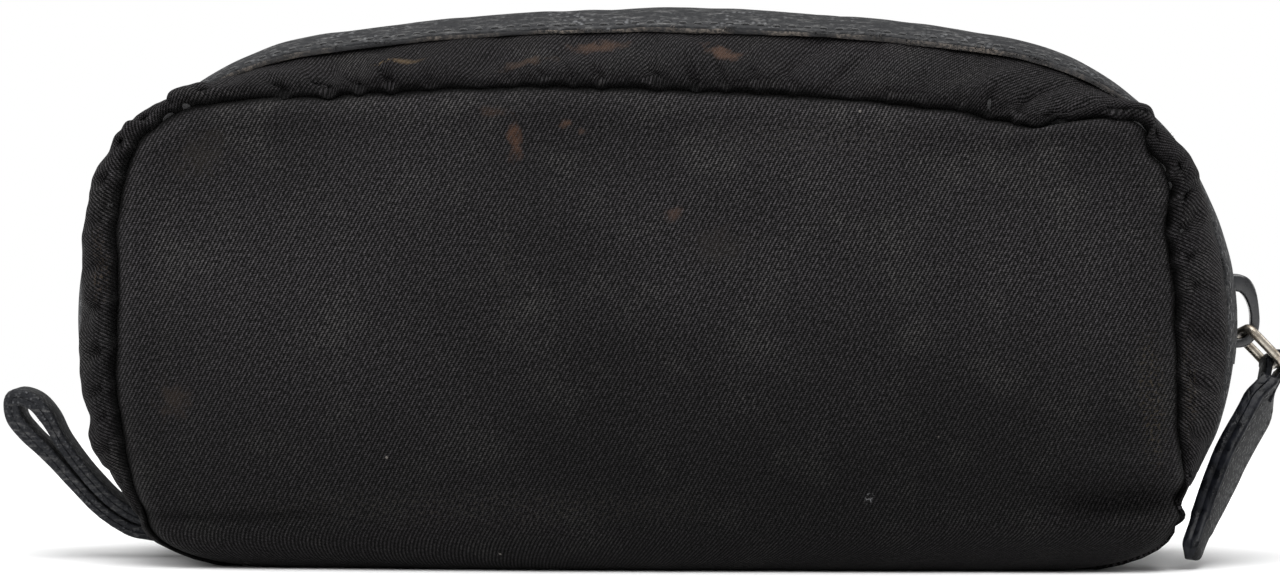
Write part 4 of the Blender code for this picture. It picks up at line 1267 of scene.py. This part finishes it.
def studio():
    """A pale floor that passes into white, and soft light from above and the sides."""
    n = Nodes("studio_floor")
    n.finish(Base_Color=(0.90, 0.90, 0.90, 1.0), Roughness=0.7, Specular_IOR_Level=0.1)
    distance = n.add("ShaderNodeVectorMath", {0: n.place()}, 1, operation="LENGTH")
    camera_ray = n.add("ShaderNodeLightPath")
    far = n.product(n.ramp(distance, 0.22, 0.5), camera_ray)
    glow = n.add("ShaderNodeEmission", {"Color": (1.0, 1.0, 1.0, 1.0)})
    blended = n.add("ShaderNodeMixShader", {0: far, 1: n.shader.outputs[0], 2: glow})
    n.put(n.tree.nodes["Material Output"].inputs["Surface"], blended)
    corners = np.array([(-1, -1, 0), (1, -1, 0), (1, 1, 0), (-1, 1, 0)]) * 3000
    new_object("studio_floor", corners, [(0, 1, 2, 3)], n.material)
    world = bpy.data.worlds.new("studio")
    bpy.context.scene.world = world
    world.use_nodes = True
    nodes, link = world.node_tree.nodes, world.node_tree.links.new
    background = nodes["Background"]
    background.inputs["Color"].default_value = (1.0, 1.0, 1.0, 1.0)
    path = nodes.new("ShaderNodeLightPath")
    strength = nodes.new("ShaderNodeMapRange")
    strength.inputs["To Min"].default_value = 0.45
    strength.inputs["To Max"].default_value = 1.0
    link(path.outputs["Is Camera Ray"], strength.inputs["Value"])
    link(strength.outputs[0], background.inputs["Strength"])
    for name, at, aim, size, power in (
        ("overhead", (0.0, -0.30, 1.1), (0, 0, 0.03), 1.2, 20.0),
        ("front_left", (-0.75, -0.95, 0.75), (0, 0, 0.05), 0.6, 4.0),
        ("right_rim", (1.0, 0.1, 0.5), (0.1, 0, 0.05), 0.5, 3.0),
        ("left_rim", (-1.0, 0.15, 0.55), (-0.1, 0, 0.05), 0.5, 3.0),
    ):
        lamp = bpy.data.lights.new(name, "AREA")
        lamp.size, lamp.energy = size, power
        placed(bpy.data.objects.new(name, lamp), Vector(at), Vector(at) - Vector(aim))


def placed(obj, at, away):
    """A lamp or camera at a place, looking opposite to a direction."""
    obj.location = at
    obj.rotation_euler = (-away).to_track_quat("-Z", "Y").to_euler()
    bpy.context.scene.collection.objects.link(obj)
    return obj


def camera():
    azimuth, elevation, distance = math.radians(2.5), math.radians(2.0), 0.9
    aim = Vector((-0.003, 0.0, 0.0507))
    level = math.cos(elevation)
    away = Vector((math.sin(azimuth) * level, -math.cos(azimuth) * level, math.sin(elevation)))
    lens = bpy.data.cameras.new("camera")
    lens.lens, lens.sensor_width = 135, 36
    bpy.context.scene.camera = placed(bpy.data.objects.new("camera", lens), aim + away * distance, away)


studio()
camera()
bpy.context.scene.view_settings.view_transform = "Standard"
